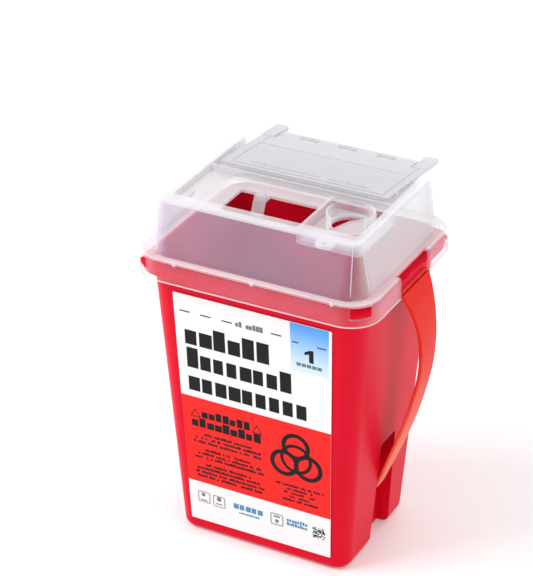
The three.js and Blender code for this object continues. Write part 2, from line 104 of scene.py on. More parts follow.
def wall_y(z):
    return BASE_Y + DRAFT * z


def wall_corner(z):
    return BASE_CORNER + CORNER_GROWTH * z


DOME_STEP = 0.4
DOME_X = wall_x(RIM_Z) + DOME_STEP
DOME_Y = wall_y(RIM_Z) + DOME_STEP
DOME_DRAFT = 0.168
DOME_FOOT_CORNER = 11.5
DOME_TOP_CORNER = 5.0
TOP_X = DOME_X - DOME_DRAFT * (TOP_Z - SHOULDER_Z)
TOP_Y = DOME_Y - DOME_DRAFT * (TOP_Z - SHOULDER_Z)
print(f"skirt {SKIRT_X:.1f} x {SKIRT_Y:.1f}, rim {RIM_Z:.1f}, top {TOP_Z:.1f}, hinge {HINGE}, fold {FOLD}")

# %% [markdown]
# ## Camera
# The container stands a little below the eye and is turned to show its label face and its strap.
# A long lens keeps the upright edges nearly parallel.

# %% Camera
VIEW_TURN = math.radians(27.56)
VIEW_RISE = math.radians(28.8)
VIEW_FAR = 959.7
VIEW_AIM = Vector((0, 0, 80))
VIEW_SIDEWAYS = -11.89
VIEW_UPWARDS = 28.99
LENS = 141.24

look_back = Vector((
    math.cos(VIEW_RISE) * math.sin(VIEW_TURN),
    -math.cos(VIEW_RISE) * math.cos(VIEW_TURN),
    math.sin(VIEW_RISE),
))
look_right = Vector((math.cos(VIEW_TURN), math.sin(VIEW_TURN), 0))
look_up = look_back.cross(look_right)
camera_data = bpy.data.cameras.new("camera")
camera_data.lens = LENS
camera_data.sensor_width = 36
camera = bpy.data.objects.new("camera", camera_data)
aim = VIEW_AIM + look_right * VIEW_SIDEWAYS + look_up * VIEW_UPWARDS
camera.location = (aim + look_back * VIEW_FAR) * MM
camera.rotation_euler = look_back.to_track_quat("Z", "Y").to_euler()
bpy.context.scene.collection.objects.link(camera)
bpy.context.scene.camera = camera
print("camera at", [round(v, 4) for v in camera.location])

# %% [markdown]
# ## Node bench
# A material and a Geometry Nodes tree are both graphs. One small class adds a node to either
# kind of graph: its settings first, then the values or links of its sockets. What it returns is
# a `Wire`, and sums written with wires add the Math nodes that they stand for.

# %% Wires and benches
class Wire:
    """An output socket that can be used in sums."""

    def __init__(self, bench, socket):
        self.bench = bench
        self.socket = socket

    def math(self, operation, other=0.0, flip=False, clamp=False):
        pair = (other, self) if flip else (self, other)
        settings = {"operation": operation, "use_clamp": clamp}
        return self.bench.add("ShaderNodeMath", settings, {0: pair[0], 1: pair[1]})

    def __add__(self, other):
        return self.math("ADD", other)

    def __sub__(self, other):
        return self.math("SUBTRACT", other)

    def __rsub__(self, other):
        return self.math("SUBTRACT", other, flip=True)

    def __mul__(self, other):
        return self.math("MULTIPLY", other)

    def __truediv__(self, other):
        return self.math("DIVIDE", other)

    __radd__ = __add__
    __rmul__ = __mul__

    def clamped(self):
        return self.math("ADD", 0.0, clamp=True)

    def ramp(self, low, high):
        """0 below low, 1 above high, and a smooth rise between."""
        return self.bench.add(
            "ShaderNodeMapRange",
            {"interpolation_type": "SMOOTHSTEP"},
            {"Value": self, "From Min": low, "From Max": high},
        )


class Bench:
    """A node tree, and the one way to add a node to it."""

    def __init__(self, tree):
        self.tree = tree

    def add(self, kind, settings=None, inputs=None, out=0):
        node = self.tree.nodes.new(kind)
        for name, value in (settings or {}).items():
            setattr(node, name, value)
        for key, value in (inputs or {}).items():
            if isinstance(value, Wire):
                self.tree.links.new(value.socket, node.inputs[key])
            else:
                node.inputs[key].default_value = value
        return Wire(self, node.outputs[out]) if len(node.outputs) else node

    def other(self, wire, name):
        """Another output of the node that a wire comes from."""
        return Wire(self, wire.socket.node.outputs[name])

    def mix(self, share, first, second):
        settings = {"data_type": "RGBA", "clamp_factor": True}
        return self.add("ShaderNodeMix", settings, {0: share, 6: first, 7: second}, out=2)


class Finish(Bench):
    """A material that is being made."""

    def __init__(self, name):
        self.material = bpy.data.materials.new(name)
        self.material.use_nodes = True
        super().__init__(self.material.node_tree)
        self.tree.nodes.clear()
        self.place = self.add("ShaderNodeTexCoord", out="Object")
        split = self.add("ShaderNodeSeparateXYZ", None, {0: self.place})
        self.x = split * (1 / MM)
        self.y = self.other(split, "Y") * (1 / MM)
        self.z = self.other(split, "Z") * (1 / MM)

    def noise(self, per_metre, detail=2.0, rough=0.5):
        """A cloudy pattern with about per_metre lumps in a metre."""
        inputs = {"Vector": self.place, "Scale": per_metre, "Detail": detail, "Roughness": rough}
        return self.add("ShaderNodeTexNoise", {"noise_dimensions": "3D"}, inputs)

    def bump(self, height, strength, depth):
        return self.add("ShaderNodeBump", None, {"Strength": strength, "Distance": depth, "Height": height})

    def surface(self, **inputs):
        """The finished Principled surface. Sockets are named with _ for a space."""
        named = {key.replace("_", " "): value for key, value in inputs.items()}
        skin = self.add("ShaderNodeBsdfPrincipled", None, named)
        self.add("ShaderNodeOutputMaterial", None, {"Surface": skin})
        return self.material


def rgb(red, green, blue):
    return (red, green, blue, 1.0)


# %% [markdown]
# ## Red polypropylene
# The tub is injection moulded: glossy, strongly coloured, with a very fine spark-eroded grain
# and slow swirls in the gloss where the melt flowed. A little light travels inside the wall,
# so the red stays warm in its shaded parts.

# %% Red polypropylene
def make_red():
    make = Finish("red_polypropylene")
    grain = make.noise(5200, 2.0)
    flow = make.noise(28, 3.0, 0.6)
    warm = make.z.ramp(0, 130)
    deep = make.mix(flow, rgb(0.68, 0.003, 0.020), rgb(0.78, 0.005, 0.028))
    tone = make.mix(warm * 0.5, deep, rgb(0.74, 0.007, 0.028))
    return make.surface(
        Base_Color=tone,
        Roughness=0.26 + flow * 0.12,
        Normal=make.bump(grain + flow * 0.6, 0.12, 0.00004),
        Subsurface_Weight=0.12,
        Subsurface_Radius=(1.0, 0.12, 0.1),
        Subsurface_Scale=0.002,
        Specular_IOR_Level=0.07,
    )


red_finish = make_red()
print("made", red_finish.name)

# %% [markdown]
# ## Strap red
# The strap is a thin band of the same moulding. Light comes through it, so it reads more orange
# than the tub. Low down, where it is thin and turned up to the light, its colour is painted paler
# and more orange: a painted highlight. It has fine lines along its length, left by the tool's
# polishing.

# %% Strap polypropylene
def make_strap_red():
    make = Finish("strap_polypropylene")
    # painted highlight: low is 1 low on the strap and fades out by 100 mm
    low = 1 - make.z.ramp(30, 100)
    drawn = make.add(
        "ShaderNodeTexWave",
        {"bands_direction": "Y", "wave_type": "BANDS"},
        {"Vector": make.place, "Scale": 420.0, "Distortion": 1.2, "Detail": 2.0},
    )
    flow = make.noise(60, 2.0)
    top = make.mix(flow, rgb(0.76, 0.022, 0.014), rgb(0.84, 0.032, 0.020))
    # the strap's colour is painted paler and more orange low down, a painted highlight
    tone = make.mix(low * (0.5 + flow * 0.2), top, rgb(0.95, 0.26, 0.14))
    return make.surface(
        Base_Color=tone,
        Roughness=0.3 + flow * 0.12,
        Normal=make.bump(drawn, 0.1, 0.00005),
        Subsurface_Weight=0.25,
        Subsurface_Radius=(1.0, 0.2, 0.12),
        Subsurface_Scale=0.003,
        Specular_IOR_Level=0.07,
    )


strap_highlight_finish = make_strap_red()
print("made", strap_highlight_finish.name)

# %% [markdown]
# ## Clear polypropylene
# Natural polypropylene isn't clear like glass. It is a cloudy film that hides more when it is
# seen along its wall. A see-through share (Alpha) that falls with the facing angle gives that
# without the cost of real refraction, and shows the red tub through the lid's walls. Bevelled
# edges gather light and are nearly white, so they get a whiter, denser finish of their own: a
# painted highlight. The dome's front and the skirt get a violet and a pink tone, a painted glow
# of the red tub and flange behind them. The front wall of the well's pocket stands before
# different things too, and the flap is greyer, so each of these has its own tone and density.

# %% Clear polypropylene
def make_clear(name, tone, least, slope, haze=0.25):
    make = Finish(name)
    cloud = make.noise(34, 3.0, 0.55)
    grain = make.noise(2600, 2.0)
    along = make.add("ShaderNodeLayerWeight", None, {"Blend": 0.5}, out="Facing")
    cover = least + along * slope + (cloud - 0.5) * (haze * 0.4)
    cooler = rgb(tone[0] * 0.95, tone[1] * 0.94, tone[2])
    return make.surface(
        Base_Color=make.mix(cloud, rgb(*tone), cooler),
        Roughness=0.16 + cloud * 0.14,
        Alpha=cover.clamped(),
        Normal=make.bump(cloud * 0.7 + grain * 0.3, 0.15, 0.0002),
        IOR=1.49,
        Specular_IOR_Level=0.35,
    )


clear_finish = make_clear("clear_polypropylene", (0.93, 0.94, 0.95), 0.05, 0.66)
# painted highlight: a whiter, denser film for bevels, beads and lines where edges catch the light
edge_highlight_finish = make_clear("clear_polypropylene_edge", (0.95, 0.95, 0.96), 0.35, 0.45)
flap_finish = make_clear("clear_polypropylene_flap", (0.67, 0.67, 0.685), 0.3, 0.75)
# painted glow: the violet front and pink skirt tones stand for the red tub and flange lit behind the wall
front_glow_finish = make_clear("clear_polypropylene_front", (0.84, 0.76, 0.97), 0.08, 0.55)
skirt_glow_finish = make_clear("clear_polypropylene_skirt", (0.93, 0.56, 0.66), 0.0, 0.42)
thin_finish = make_clear("clear_polypropylene_thin", (0.80, 0.78, 0.85), 0.0, 0.1)
print("made", clear_finish.name, edge_highlight_finish.name, flap_finish.name)

# %% [markdown]
# ## Label film and inks
# The label is a satin film. Its inks lie on it as thin layers: black, a warm red, a blue that
# fades to white, and a grey for the small marks. Each ink has a faint unevenness, as flexo
# printing leaves.

# %% Film and inks
def make_film(name, tone, gloss):
    make = Finish(name)
    fibre = make.noise(900, 3.0)
    spread = make.noise(45, 2.0)
    darker = rgb(*(value * 0.94 for value in tone))
    return make.surface(
        Base_Color=make.mix(spread, rgb(*tone), darker),
        Roughness=gloss + fibre * 0.1,
        Normal=make.bump(fibre, 0.08, 0.00003),
        Specular_IOR_Level=0.12,
    )


def make_blue_ink():
    make = Finish("blue_ink")
    fade = make.z.ramp(96, 123)
    spread = make.noise(45, 2.0)
    full = make.mix(spread, rgb(0.07, 0.36, 0.93), rgb(0.10, 0.40, 0.95))
    return make.surface(
        Base_Color=make.mix(fade, rgb(0.72, 0.86, 0.97), full),
        Roughness=0.32 + spread * 0.08,
        Specular_IOR_Level=0.12,
    )


film_finish = make_film("label_film", (0.93, 0.93, 0.93), 0.34)
black_ink = make_film("black_ink", (0.012, 0.012, 0.014), 0.36)
red_ink = make_film("red_ink", (0.93, 0.022, 0.018), 0.3)
grey_ink = make_film("grey_ink", (0.19, 0.21, 0.24), 0.4)
cyan_ink = make_film("cyan_ink", (0.10, 0.30, 0.52), 0.4)
blue_ink = make_blue_ink()
print("made the film and its inks")

# %% [markdown]
# ## Mesh tools
# Moulded boxes are rounded rectangles that change size with height, so most shapes here are
# lofts: a ring of points for each height, joined by bands of faces. Holes and pockets are cut
# with Blender's manifold boolean, and the edges that are left get a small bevel, because no
# moulded edge is sharp and a rounded one catches the light.

# %% Rings, lofts and prisms
CORNER_STEPS = 12


def ring(half_x, half_y, corner, z, steps=CORNER_STEPS):
    """Points round a rounded rectangle, anticlockwise seen from above."""
    points = []
    for quarter, (side_x, side_y) in enumerate([(1, 1), (-1, 1), (-1, -1), (1, -1)]):
        for step in range(steps + 1):
            angle = math.pi / 2 * (quarter + step / steps)
            x = side_x * (half_x - corner) + corner * math.cos(angle)
            y = side_y * (half_y - corner) + corner * math.sin(angle)
            points.append((x, y, z))
    return points


def loft(rings):
    """A closed shape through rings that all have the same number of points."""
    build = bmesh.new()
    layers = [[build.verts.new(point) for point in points] for points in rings]
    count = len(rings[0])
    for below, above in zip(layers, layers[1:]):
        for i in range(count):
            j = (i + 1) % count
            build.faces.new((below[i], below[j], above[j], above[i]))
    build.faces.new(list(reversed(layers[0])))
    build.faces.new(layers[-1])
    return to_shape(build)


def to_shape(build):
    bmesh.ops.remove_doubles(build, verts=build.verts, dist=1e-5)
    bmesh.ops.recalc_face_normals(build, faces=build.faces)
    shape = bpy.data.meshes.new("shape")
    build.to_mesh(shape)
    build.free()
    return shape


def prism(outline, low, high, turn=Matrix.Identity(4)):
    """A flat outline raised from low to high, then put in place by turn."""
    flat = [[turn @ Vector((*point, z)) for point in outline] for z in (low, high)]
    return loft(flat)


def block(low, high):
    (x0, y0, z0), (x1, y1, z1) = low, high
    return prism([(x0, y0), (x1, y0), (x1, y1), (x0, y1)], z0, z1)


def rounded(points, radius, steps=6):
    """An outline whose corners are rounded by radius."""
    outline = []
    count = len(points)
    for i in range(count):
        here = Vector(points[i])
        before = here + (Vector(points[i - 1]) - here).normalized() * radius
        after = here + (Vector(points[(i + 1) % count]) - here).normalized() * radius
        for step in range(steps + 1):
            t = step / steps
            bend = before * (1 - t) ** 2 + here * 2 * t * (1 - t) + after * t**2
            outline.append((bend.x, bend.y))
    return outline


def rectangle(x0, y0, x1, y1, radius, steps=6):
    return rounded([(x0, y0), (x1, y0), (x1, y1), (x0, y1)], radius, steps)


def circle(x, y, radius, steps=48):
    turns = [2 * math.pi * i / steps for i in range(steps)]
    return [(x + radius * math.cos(a), y + radius * math.sin(a)) for a in turns]


# an outline drawn in (across y, up z) and raised along x
ALONG_X = Matrix(((0, 0, 1, 0), (1, 0, 0, 0), (0, 1, 0, 0), (0, 0, 0, 1)))


# %% [markdown]
# ## Cutting and joining
# Openings and added parts are booleans between closed shapes. The manifold solver is quick and
# asks for closed shapes. Each result is a new plain mesh, so no modifier is left behind.

# %% Booleans
def carve(shape, operation, *others):
    """shape joined with, cut by or kept inside the other shapes, one after another."""
    for other in others:
        holder = bpy.data.objects.new("holder", shape)
        tool = bpy.data.objects.new("tool", other)
        for made in (holder, tool):
            bpy.context.scene.collection.objects.link(made)
        change = holder.modifiers.new("carve", "BOOLEAN")
        change.operation = operation
        change.solver = "MANIFOLD"
        change.object = tool
        bpy.context.view_layer.update()
        ready = holder.evaluated_get(bpy.context.evaluated_depsgraph_get())
        shape = bpy.data.meshes.new_from_object(ready)
        bpy.data.objects.remove(holder)
        bpy.data.objects.remove(tool)
    return shape


def cut(shape, *others):
    return carve(shape, "DIFFERENCE", *others)


def join(shape, *others):
    return carve(shape, "UNION", *others)


def keep(shape, *others):
    return carve(shape, "INTERSECT", *others)


# %% [markdown]
# ## Soft edges and finished pieces
# A moulded edge is never quite sharp, and the bright line along it makes plastic look solid. A
# modifier could bevel every piece, but a bevel made in the mesh can leave chosen edges out and
# give the new faces a finish of their own.

# %% Bevelled edges and finished pieces
SHARP = math.radians(34)


def soften(shape, width, segments=2, edge_slot=0, where=None):
    """Bevels every sharp edge of a shape. The new faces take the material edge_slot."""
    build = bmesh.new()
    build.from_mesh(shape)
    bmesh.ops.remove_doubles(build, verts=build.verts, dist=1e-3)
    bmesh.ops.dissolve_limit(
        build, angle_limit=math.radians(0.6), verts=build.verts, edges=build.edges
    )
    edges = []
    for edge in build.edges:
        if len(edge.link_faces) != 2 or edge.calc_face_angle() < SHARP:
            continue
        middle = (edge.verts[0].co + edge.verts[1].co) / 2
        if where is None or where(middle):
            edges.append(edge)
    bmesh.ops.bevel(
        build, geom=edges, offset=width, offset_type="OFFSET", segments=segments,
        profile=0.5, affect="EDGES", clamp_overlap=True, material=edge_slot,
    )
    return to_shape(build)


def piece(name, shape, finishes, body, replaces=()):
    """A finished object: metres, smooth shading with kept creases, riding its body."""
    shape.name = name
    shape.transform(Matrix.Scale(MM, 4))
    slots = [face.material_index for face in shape.polygons]
    shape.materials.clear()
    for finish in finishes:
        shape.materials.append(finish)
    for face, index in zip(shape.polygons, slots):
        face.material_index = min(index, len(finishes) - 1)
        face.use_smooth = True
    shape.set_sharp_from_angle(angle=SHARP)
    made = bpy.data.objects.new(name, shape)
    bpy.context.scene.collection.objects.link(made)
    made.modifiers.new("even", "WEIGHTED_NORMAL").keep_sharp = True
    bpy.context.view_layer.update()
    ready = made.evaluated_get(bpy.context.evaluated_depsgraph_get())
    even = bpy.data.meshes.new_from_object(ready)
    made.modifiers.clear()
    made.data = even
    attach(made, body)
    if replaces:
        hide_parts(*replaces)
    print(f"{name}: {len(even.polygons)} faces")
    return made


# %% [markdown]
# ## Tub
# One loft goes up the outside, over the flange and the rim, and down the inside to the floor,
# so the wall has its real thickness and the fillets are part of the profile.

# %% Tub wall as one profile
def quarter(centre, radius, start, end, steps=4):
    """Points of an arc in the profile plane, start and end in quarter turns."""
    turns = [start + (end - start) * i / steps for i in range(steps + 1)]
    return [
        (centre[0] + radius * math.cos(t * math.pi / 2), centre[1] + radius * math.sin(t * math.pi / 2))
        for t in turns
    ]


def tub_ring(out, z):
    """A ring that stands out from the drafted wall; the flange's corners are a bit tighter."""
    corner = wall_corner(z) + out
    if out > 0:
        flange_corner = SKIRT_CORNER - LID_WALL - GAP
        corner = wall_corner(z) + (flange_corner - wall_corner(z)) * out / FLANGE_OUT
    return ring(wall_x(z) + out, wall_y(z) + out, max(corner, 1), z)


FOOT_ROUND = 3.0


def outer_profile():
    foot = quarter((-FOOT_ROUND, FOOT_ROUND), FOOT_ROUND, -1, 0, 7)
    wall = [(0, z) for z in (20, 50, 80, 110)]
    under = quarter((0.9, FLANGE_Z - 0.9), 0.9, 2, 1, 4)
    lip = quarter((FLANGE_OUT - 0.5, FLANGE_Z + 0.5), 0.5, -1, 0, 3)
    shoulder = quarter((FLANGE_OUT - 0.7, FLANGE_TOP - 0.7), 0.7, 0, 1, 4)
    step = quarter((0.5, FLANGE_TOP + 0.5), 0.5, 3, 2, 3)
    rim = quarter((-TUB_WALL / 2, RIM_Z - TUB_WALL / 2), TUB_WALL / 2, 0, 2, 6)
    return foot + wall + under + lip + shoulder + step + rim


def inner_profile(inset, floor):
    round_in = 2.4
    wall = [(-inset, z) for z in (110, 80, 50, 20)]
    return wall + quarter((-inset - round_in, floor + round_in), round_in, 0, -1, 6)


def make_tub_wall():
    profile = outer_profile() + inner_profile(TUB_WALL, TUB_FLOOR)
    return loft([tub_ring(out, z) for out, z in profile])


tub_wall = make_tub_wall()
print("tub wall", len(tub_wall.polygons), "faces")

# %% [markdown]
# The strap tucks into a tapered recess low in the right wall, open at the floor. The wall goes
# round the recess on the inside, so a block is joined first and the recess is cut from both.
# A small catch bar bridges it, for the strap's hook.

# %% Strap recess and catch
RECESS_MID = 3.5
RECESS_HIGH = 50.0
RECESS_TOP_HALF = 7.0
RECESS_FOOT_HALF = 9.5
RECESS_DEEP = 5.3
RECESS_BACK = BASE_X - RECESS_DEEP
STRAP_MID = FOLD.y
CATCH_LOW = 29.6
CATCH_HIGH = 3.0
CATCH_OUT = 3.4
CATCH_HALF = 3


def recess_volume(grow, corner):
    foot = RECESS_FOOT_HALF + grow
    top = RECESS_TOP_HALF + grow
    outline = [
        (RECESS_MID - foot, -2),
        (RECESS_MID + foot, -2),
        (RECESS_MID + top, RECESS_HIGH + grow),
        (RECESS_MID - top, RECESS_HIGH + grow),
    ]
    return prism(rounded(outline, corner, 8), RECESS_BACK - grow, wall_x(RECESS_HIGH) + 2, ALONG_X)


def make_tub():
    inside_wall = loft([
        ring(wall_x(z) - TUB_WALL / 2, wall_y(z) - TUB_WALL / 2, wall_corner(z), z)
        for z in (TUB_FLOOR / 2, RECESS_HIGH + 10)
    ])
    liner = keep(recess_volume(TUB_WALL, 2.5), inside_wall)
    tub = cut(join(tub_wall, liner), recess_volume(0, 2.2))
    catch = block(
        (RECESS_BACK - 0.7, STRAP_MID - CATCH_HALF, CATCH_LOW),
        (RECESS_BACK + CATCH_OUT, STRAP_MID + CATCH_HALF, CATCH_LOW + CATCH_HIGH),
    )
    tub = join(tub, catch)

    def near_recess(at):
        return at.x > RECESS_BACK - 1 and at.z < RECESS_HIGH + 1

    return soften(tub, 0.7, 3, 0, near_recess)


# %% [markdown]
# The flange has a lug at each corner that stands out into a window of the lid's skirt, so the
# lid can't creep. A wedge at the corner's middle picks each lug from one full ring.

# %% Corner lugs
WINDOW_DOWN = 0.8
WINDOW_HIGH = 5.4
WINDOW_TOP = SHOULDER_Z - WINDOW_DOWN
WINDOW_LOW = WINDOW_TOP - WINDOW_HIGH
WINDOW_HALF = 0.385
LUG_LESS = 0.06
CORNERS = [(1, 1), (-1, 1), (-1, -1), (1, -1)]


def corner_wedge(side_x, side_y, half, low, high):
    reach = SKIRT_CORNER + 2
    middle = math.atan2(side_y, side_x)
    at = Vector((side_x * (SKIRT_X - SKIRT_CORNER), side_y * (SKIRT_Y - SKIRT_CORNER)))
    spokes = [(2.8, middle), (reach, middle - half), (reach * 1.15, middle), (reach, middle + half)]
    outline = [(at.x + r * math.cos(a), at.y + r * math.sin(a)) for r, a in spokes]
    return prism(outline, low, high)


def make_lugs(tub):
    out = GAP
    levels = [(WINDOW_LOW + GAP, 0.4), (WINDOW_LOW + 0.8, 0), (FLANGE_TOP - 0.5, 0), (FLANGE_TOP, 0.5)]
    rings = []
    for z, less in levels:
        inset = out + less
        rings.append(ring(SKIRT_X - inset, SKIRT_Y - inset, SKIRT_CORNER - inset, z))
    full = loft(rings)
    hollow = loft([tub_ring(-TUB_WALL / 2, z) for z in (FLANGE_Z - 3, RIM_Z)])
    lugs = cut(full, hollow)
    for side_x, side_y in CORNERS:
        wedge = corner_wedge(side_x, side_y, WINDOW_HALF - LUG_LESS, WINDOW_LOW, RIM_Z)
        tub = join(tub, keep(lugs, wedge))
    return tub


tub_shape = make_lugs(make_tub())
piece("tub_shell", tub_shape, [red_finish], "container", ["tub"])

# %% [markdown]
# ## Lid
# The lid is one moulding: a skirt that presses over the flange, a shoulder, and a leaning dome
# with rounded corners that tighten towards the top. It is lofted as a solid, hollowed, and its
# top pockets are sunk with walls of the same thickness.

# %% Lid outside and inside
BAND_SIDE = 4.1
BAND_FRONT = 8.4
POCKET_X = TOP_X - BAND_SIDE
POCKET_FRONT = -TOP_Y + BAND_FRONT
DIVIDER_LEFT = 14.5
DIVIDER_RIGHT = 15.7
RIB_FRONT = HINGE.y - 1.5
RIB_REAR = HINGE.y - GAP
DECK_DOWN = 3.5
WELL_DECK_DOWN = 7.4
REAR_DOWN = 4
DECK_Z = TOP_Z - DECK_DOWN
WELL_DECK_Z = TOP_Z - WELL_DECK_DOWN
REAR_Z = TOP_Z - REAR_DOWN


def dome_ring(z, inset):
    up = (z - SHOULDER_Z) / (TOP_Z - SHOULDER_Z)
    lean = DOME_DRAFT * (z - SHOULDER_Z)
    corner = DOME_FOOT_CORNER + (DOME_TOP_CORNER - DOME_FOOT_CORNER) * up - inset
    return ring(DOME_X - lean - inset, DOME_Y - lean - inset, max(corner, 1), z)


def skirt_ring(z, less):
    return ring(SKIRT_X - less, SKIRT_Y - less, SKIRT_CORNER - less, z)


def make_lid_outside():
    rings = [skirt_ring(SKIRT_Z, 0.35), skirt_ring(SKIRT_Z + 0.35, 0)]
    for less, z in quarter((1.2, SHOULDER_Z - 1.2), 1.2, 2, 1, 5):
        rings.append(skirt_ring(z, less))
    foot = SKIRT_X - DOME_X
    for less, z in quarter((foot - 0.9, SHOULDER_Z + 0.9), 0.9, -1, 0, 4):
        rings.append(skirt_ring(z, less))
    rings.extend(dome_ring(z, 0) for z in (SHOULDER_Z + 1.6, SHOULDER_Z + 8, SHOULDER_Z + 16))
    for inset, z in quarter((0.9, TOP_Z - 0.9), 0.9, 2, 1, 5):
        rings.append(dome_ring(z, inset))
    return loft(rings)


def pockets(grow):
    top = TOP_Z + 2
    corner = 2.0
    left = rectangle(
        -POCKET_X - grow, POCKET_FRONT - grow, DIVIDER_LEFT + grow, RIB_FRONT + grow, corner
    )
    right = rectangle(
        DIVIDER_RIGHT - grow, POCKET_FRONT - grow, POCKET_X + grow, RIB_FRONT + grow, corner
    )
    rear = rectangle(-POCKET_X - grow, RIB_REAR - grow, POCKET_X + grow, DOME_Y + 6, corner)
    return [
        prism(left, DECK_Z - grow, top),
        prism(right, WELL_DECK_Z - grow, top),
        prism(rear, REAR_Z - grow, top),
    ]


def make_lid_shell():
    under = SHOULDER_Z - LID_WALL
    skirt_inset = LID_WALL
    rings = [skirt_ring(SKIRT_Z - 2, skirt_inset), skirt_ring(under, skirt_inset)]
    rings.extend(dome_ring(z, LID_WALL) for z in (under + 0.01, SHOULDER_Z + 8, TOP_Z - LID_WALL))
    inside = cut(loft(rings), *pockets(LID_WALL))
    return cut(make_lid_outside(), inside, *pockets(0))


lid_shell = make_lid_shell()
print("lid shell", len(lid_shell.polygons), "faces")

# %% [markdown]
# ## Openings, tab, rib and divider
# The mouth, the needle well's hole, the strap's opening, a slit and the corner windows are cut
# through the lid, and the front tab is joined on. Cutting keeps the wall's thickness in view. The
# walls then take their finishes by where they are.

# %% Lid openings, tab, rib and divider
MOUTH_LEFT = -22.0
MOUTH_FRONT = POCKET_FRONT + 2
MOUTH_REAR = -5.6
FINGER_OFF = 3.1
DIVIDER_DOWN = 2.4
SLIT_X = -38.0
SLIT_Y = -19.0
TAB_X = 32.2
TAB_OUT = 5.4
STRAP_TOP_HALF = 12.5
STRAP_SIDE = 1.5


def front_tab():
    front = -TOP_Y
    outline = [
        (TAB_X - 4.3, front + 1),
        (TAB_X - 3.4, front - TAB_OUT + 1),
        (TAB_X - 1, front - TAB_OUT),
        (TAB_X + 3.3, front - TAB_OUT + 0.6),
        (TAB_X + 4.3, front + 1),
    ]
    plate = prism(rounded(outline, 0.9), TOP_Z - LID_WALL, TOP_Z)
    hole = prism(circle(TAB_X, front - TAB_OUT / 2, 0.9, 20), TOP_Z - 5, TOP_Z + 2)
    return cut(plate, hole)


def make_lid():
    rib_trim = block((-POCKET_X, RIB_FRONT - 1.2, TOP_Z - 0.7), (POCKET_X, RIB_REAR + 1.2, TOP_Z + 2))
    divider_trim = block(
        (DIVIDER_LEFT - 1.2, POCKET_FRONT, TOP_Z - DIVIDER_DOWN), (DIVIDER_RIGHT + 1.2, RIB_FRONT, TOP_Z + 2)
    )
    mouth = prism(rectangle(MOUTH_LEFT, MOUTH_FRONT, DIVIDER_LEFT, MOUTH_REAR, 0.8), DECK_Z - 4, TOP_Z)
    well_hole = prism(circle(WELL.x, WELL.y, 8.8), WELL_DECK_Z - 2, WELL_DECK_Z + 2)
    slit = prism(
        rectangle(SLIT_X - 0.4, SLIT_Y - 3, SLIT_X + 0.4, SLIT_Y + 3, 0.35), DECK_Z - 2, DECK_Z + 2
    )
    half = STRAP_TOP_HALF + STRAP_SIDE
    strap_cut = block(
        (SKIRT_X - 2.9, STRAP_MID - half, SKIRT_Z - 2), (SKIRT_X + 2, STRAP_MID + half, SHOULDER_Z + 2)
    )
    windows = [corner_wedge(x, y, WINDOW_HALF, WINDOW_LOW, WINDOW_TOP) for x, y in CORNERS]
    lid = join(lid_shell, front_tab())
    return cut(lid, rib_trim, divider_trim, mouth, well_hole, slit, strap_cut, *windows)


EDGE_SLOT = 1
FRONT_SLOT = 2
SKIRT_SLOT = 3
THIN_SLOT = 4


def mark_walls(shape):
    """Gives the lid's walls the finish that suits where they are; the front and skirt finishes carry a
    painted red glow.
    """
    for face in shape.polygons:
        at = face.center
        upright = abs(face.normal.z) < 0.7
        if face.material_index == EDGE_SLOT or not upright:
            continue
        faces_front = abs(face.normal.y) > 0.7
        if at.z < SHOULDER_Z - 0.5:
            face.material_index = SKIRT_SLOT
        elif faces_front and at.y < -TOP_Y + 1.3:
            face.material_index = FRONT_SLOT
        elif faces_front and at.x > DIVIDER_LEFT - 2 and abs(at.y - POCKET_FRONT) < 2.5:
            face.material_index = THIN_SLOT
# The lid's bevel faces take the edge highlight finish, a painted highlight.
lid_shape = soften(make_lid(), 0.3, 2, EDGE_SLOT)
mark_walls(lid_shape)
lid_finishes = [clear_finish, edge_highlight_finish, front_glow_finish, skirt_glow_finish, thin_finish]
piece("lid_dome", lid_shape, lid_finishes, "container", ["lid"])

# %% [markdown]
# ## Beads and bumps
# Thin white lines run just inside the wall along the shoulder's edge and along the skirt's foot,
# where the foot line stands out a hair: they are painted highlights on those edges. Pale lines
# stand in the bends of the dome's corners, and three small bumps sit on the shoulder's front.
# Beads that follow a path are what Geometry Nodes do well: the path is a plain ring of points,
# and one tree sweeps a round profile along it.

# %% Geometry Nodes helpers
class Growth(Bench):
    """A Geometry Nodes tree with named inputs."""

    def __init__(self, name):
        tree = bpy.data.node_groups.new(name, "GeometryNodeTree")
        super().__init__(tree)
        tree.interface.new_socket("Geometry", in_out="INPUT", socket_type="NodeSocketGeometry")
        tree.interface.new_socket("Geometry", in_out="OUTPUT", socket_type="NodeSocketGeometry")
        self.inputs = None

    def ask(self, name, kind, value):
        socket = self.tree.interface.new_socket(name, in_out="INPUT", socket_type=kind)
        socket.default_value = value

    def open(self):
        self.inputs = self.tree.nodes.new("NodeGroupInput")

    def given(self, name):
        return Wire(self, self.inputs.outputs[name])

    def close(self, geometry):
        """Ends the tree in Realize Instances and Set Material."""
        real = self.add("GeometryNodeRealizeInstances", None, {0: geometry})
        painted = self.add(
            "GeometryNodeSetMaterial", None, {"Geometry": real, "Material": self.given("Finish")}
        )
        self.add("NodeGroupOutput", None, {0: painted})
        return self.tree


def grow(tree, shape, **values):
    """Runs a tree on a shape and returns the plain mesh that comes out."""
    holder = bpy.data.objects.new("holder", shape)
    bpy.context.scene.collection.objects.link(holder)
    change = holder.modifiers.new("grow", "NODES")
    change.node_group = tree
    sockets = {
        item.name: item.identifier
        for item in tree.interface.items_tree
        if getattr(item, "in_out", "") == "INPUT"
    }
    for name, value in values.items():
        change[sockets[name]] = value
    bpy.context.view_layer.update()
    ready = holder.evaluated_get(bpy.context.evaluated_depsgraph_get())
    result = bpy.data.meshes.new_from_object(ready)
    bpy.data.objects.remove(holder)
    return result


def path_shape(points, closed=True):
    """A chain of edges through points, for a tree to follow."""
    shape = bpy.data.meshes.new("path")
    count = len(points)
    last = count if closed else count - 1
    shape.from_pydata(points, [(i, (i + 1) % count) for i in range(last)], [])
    return shape


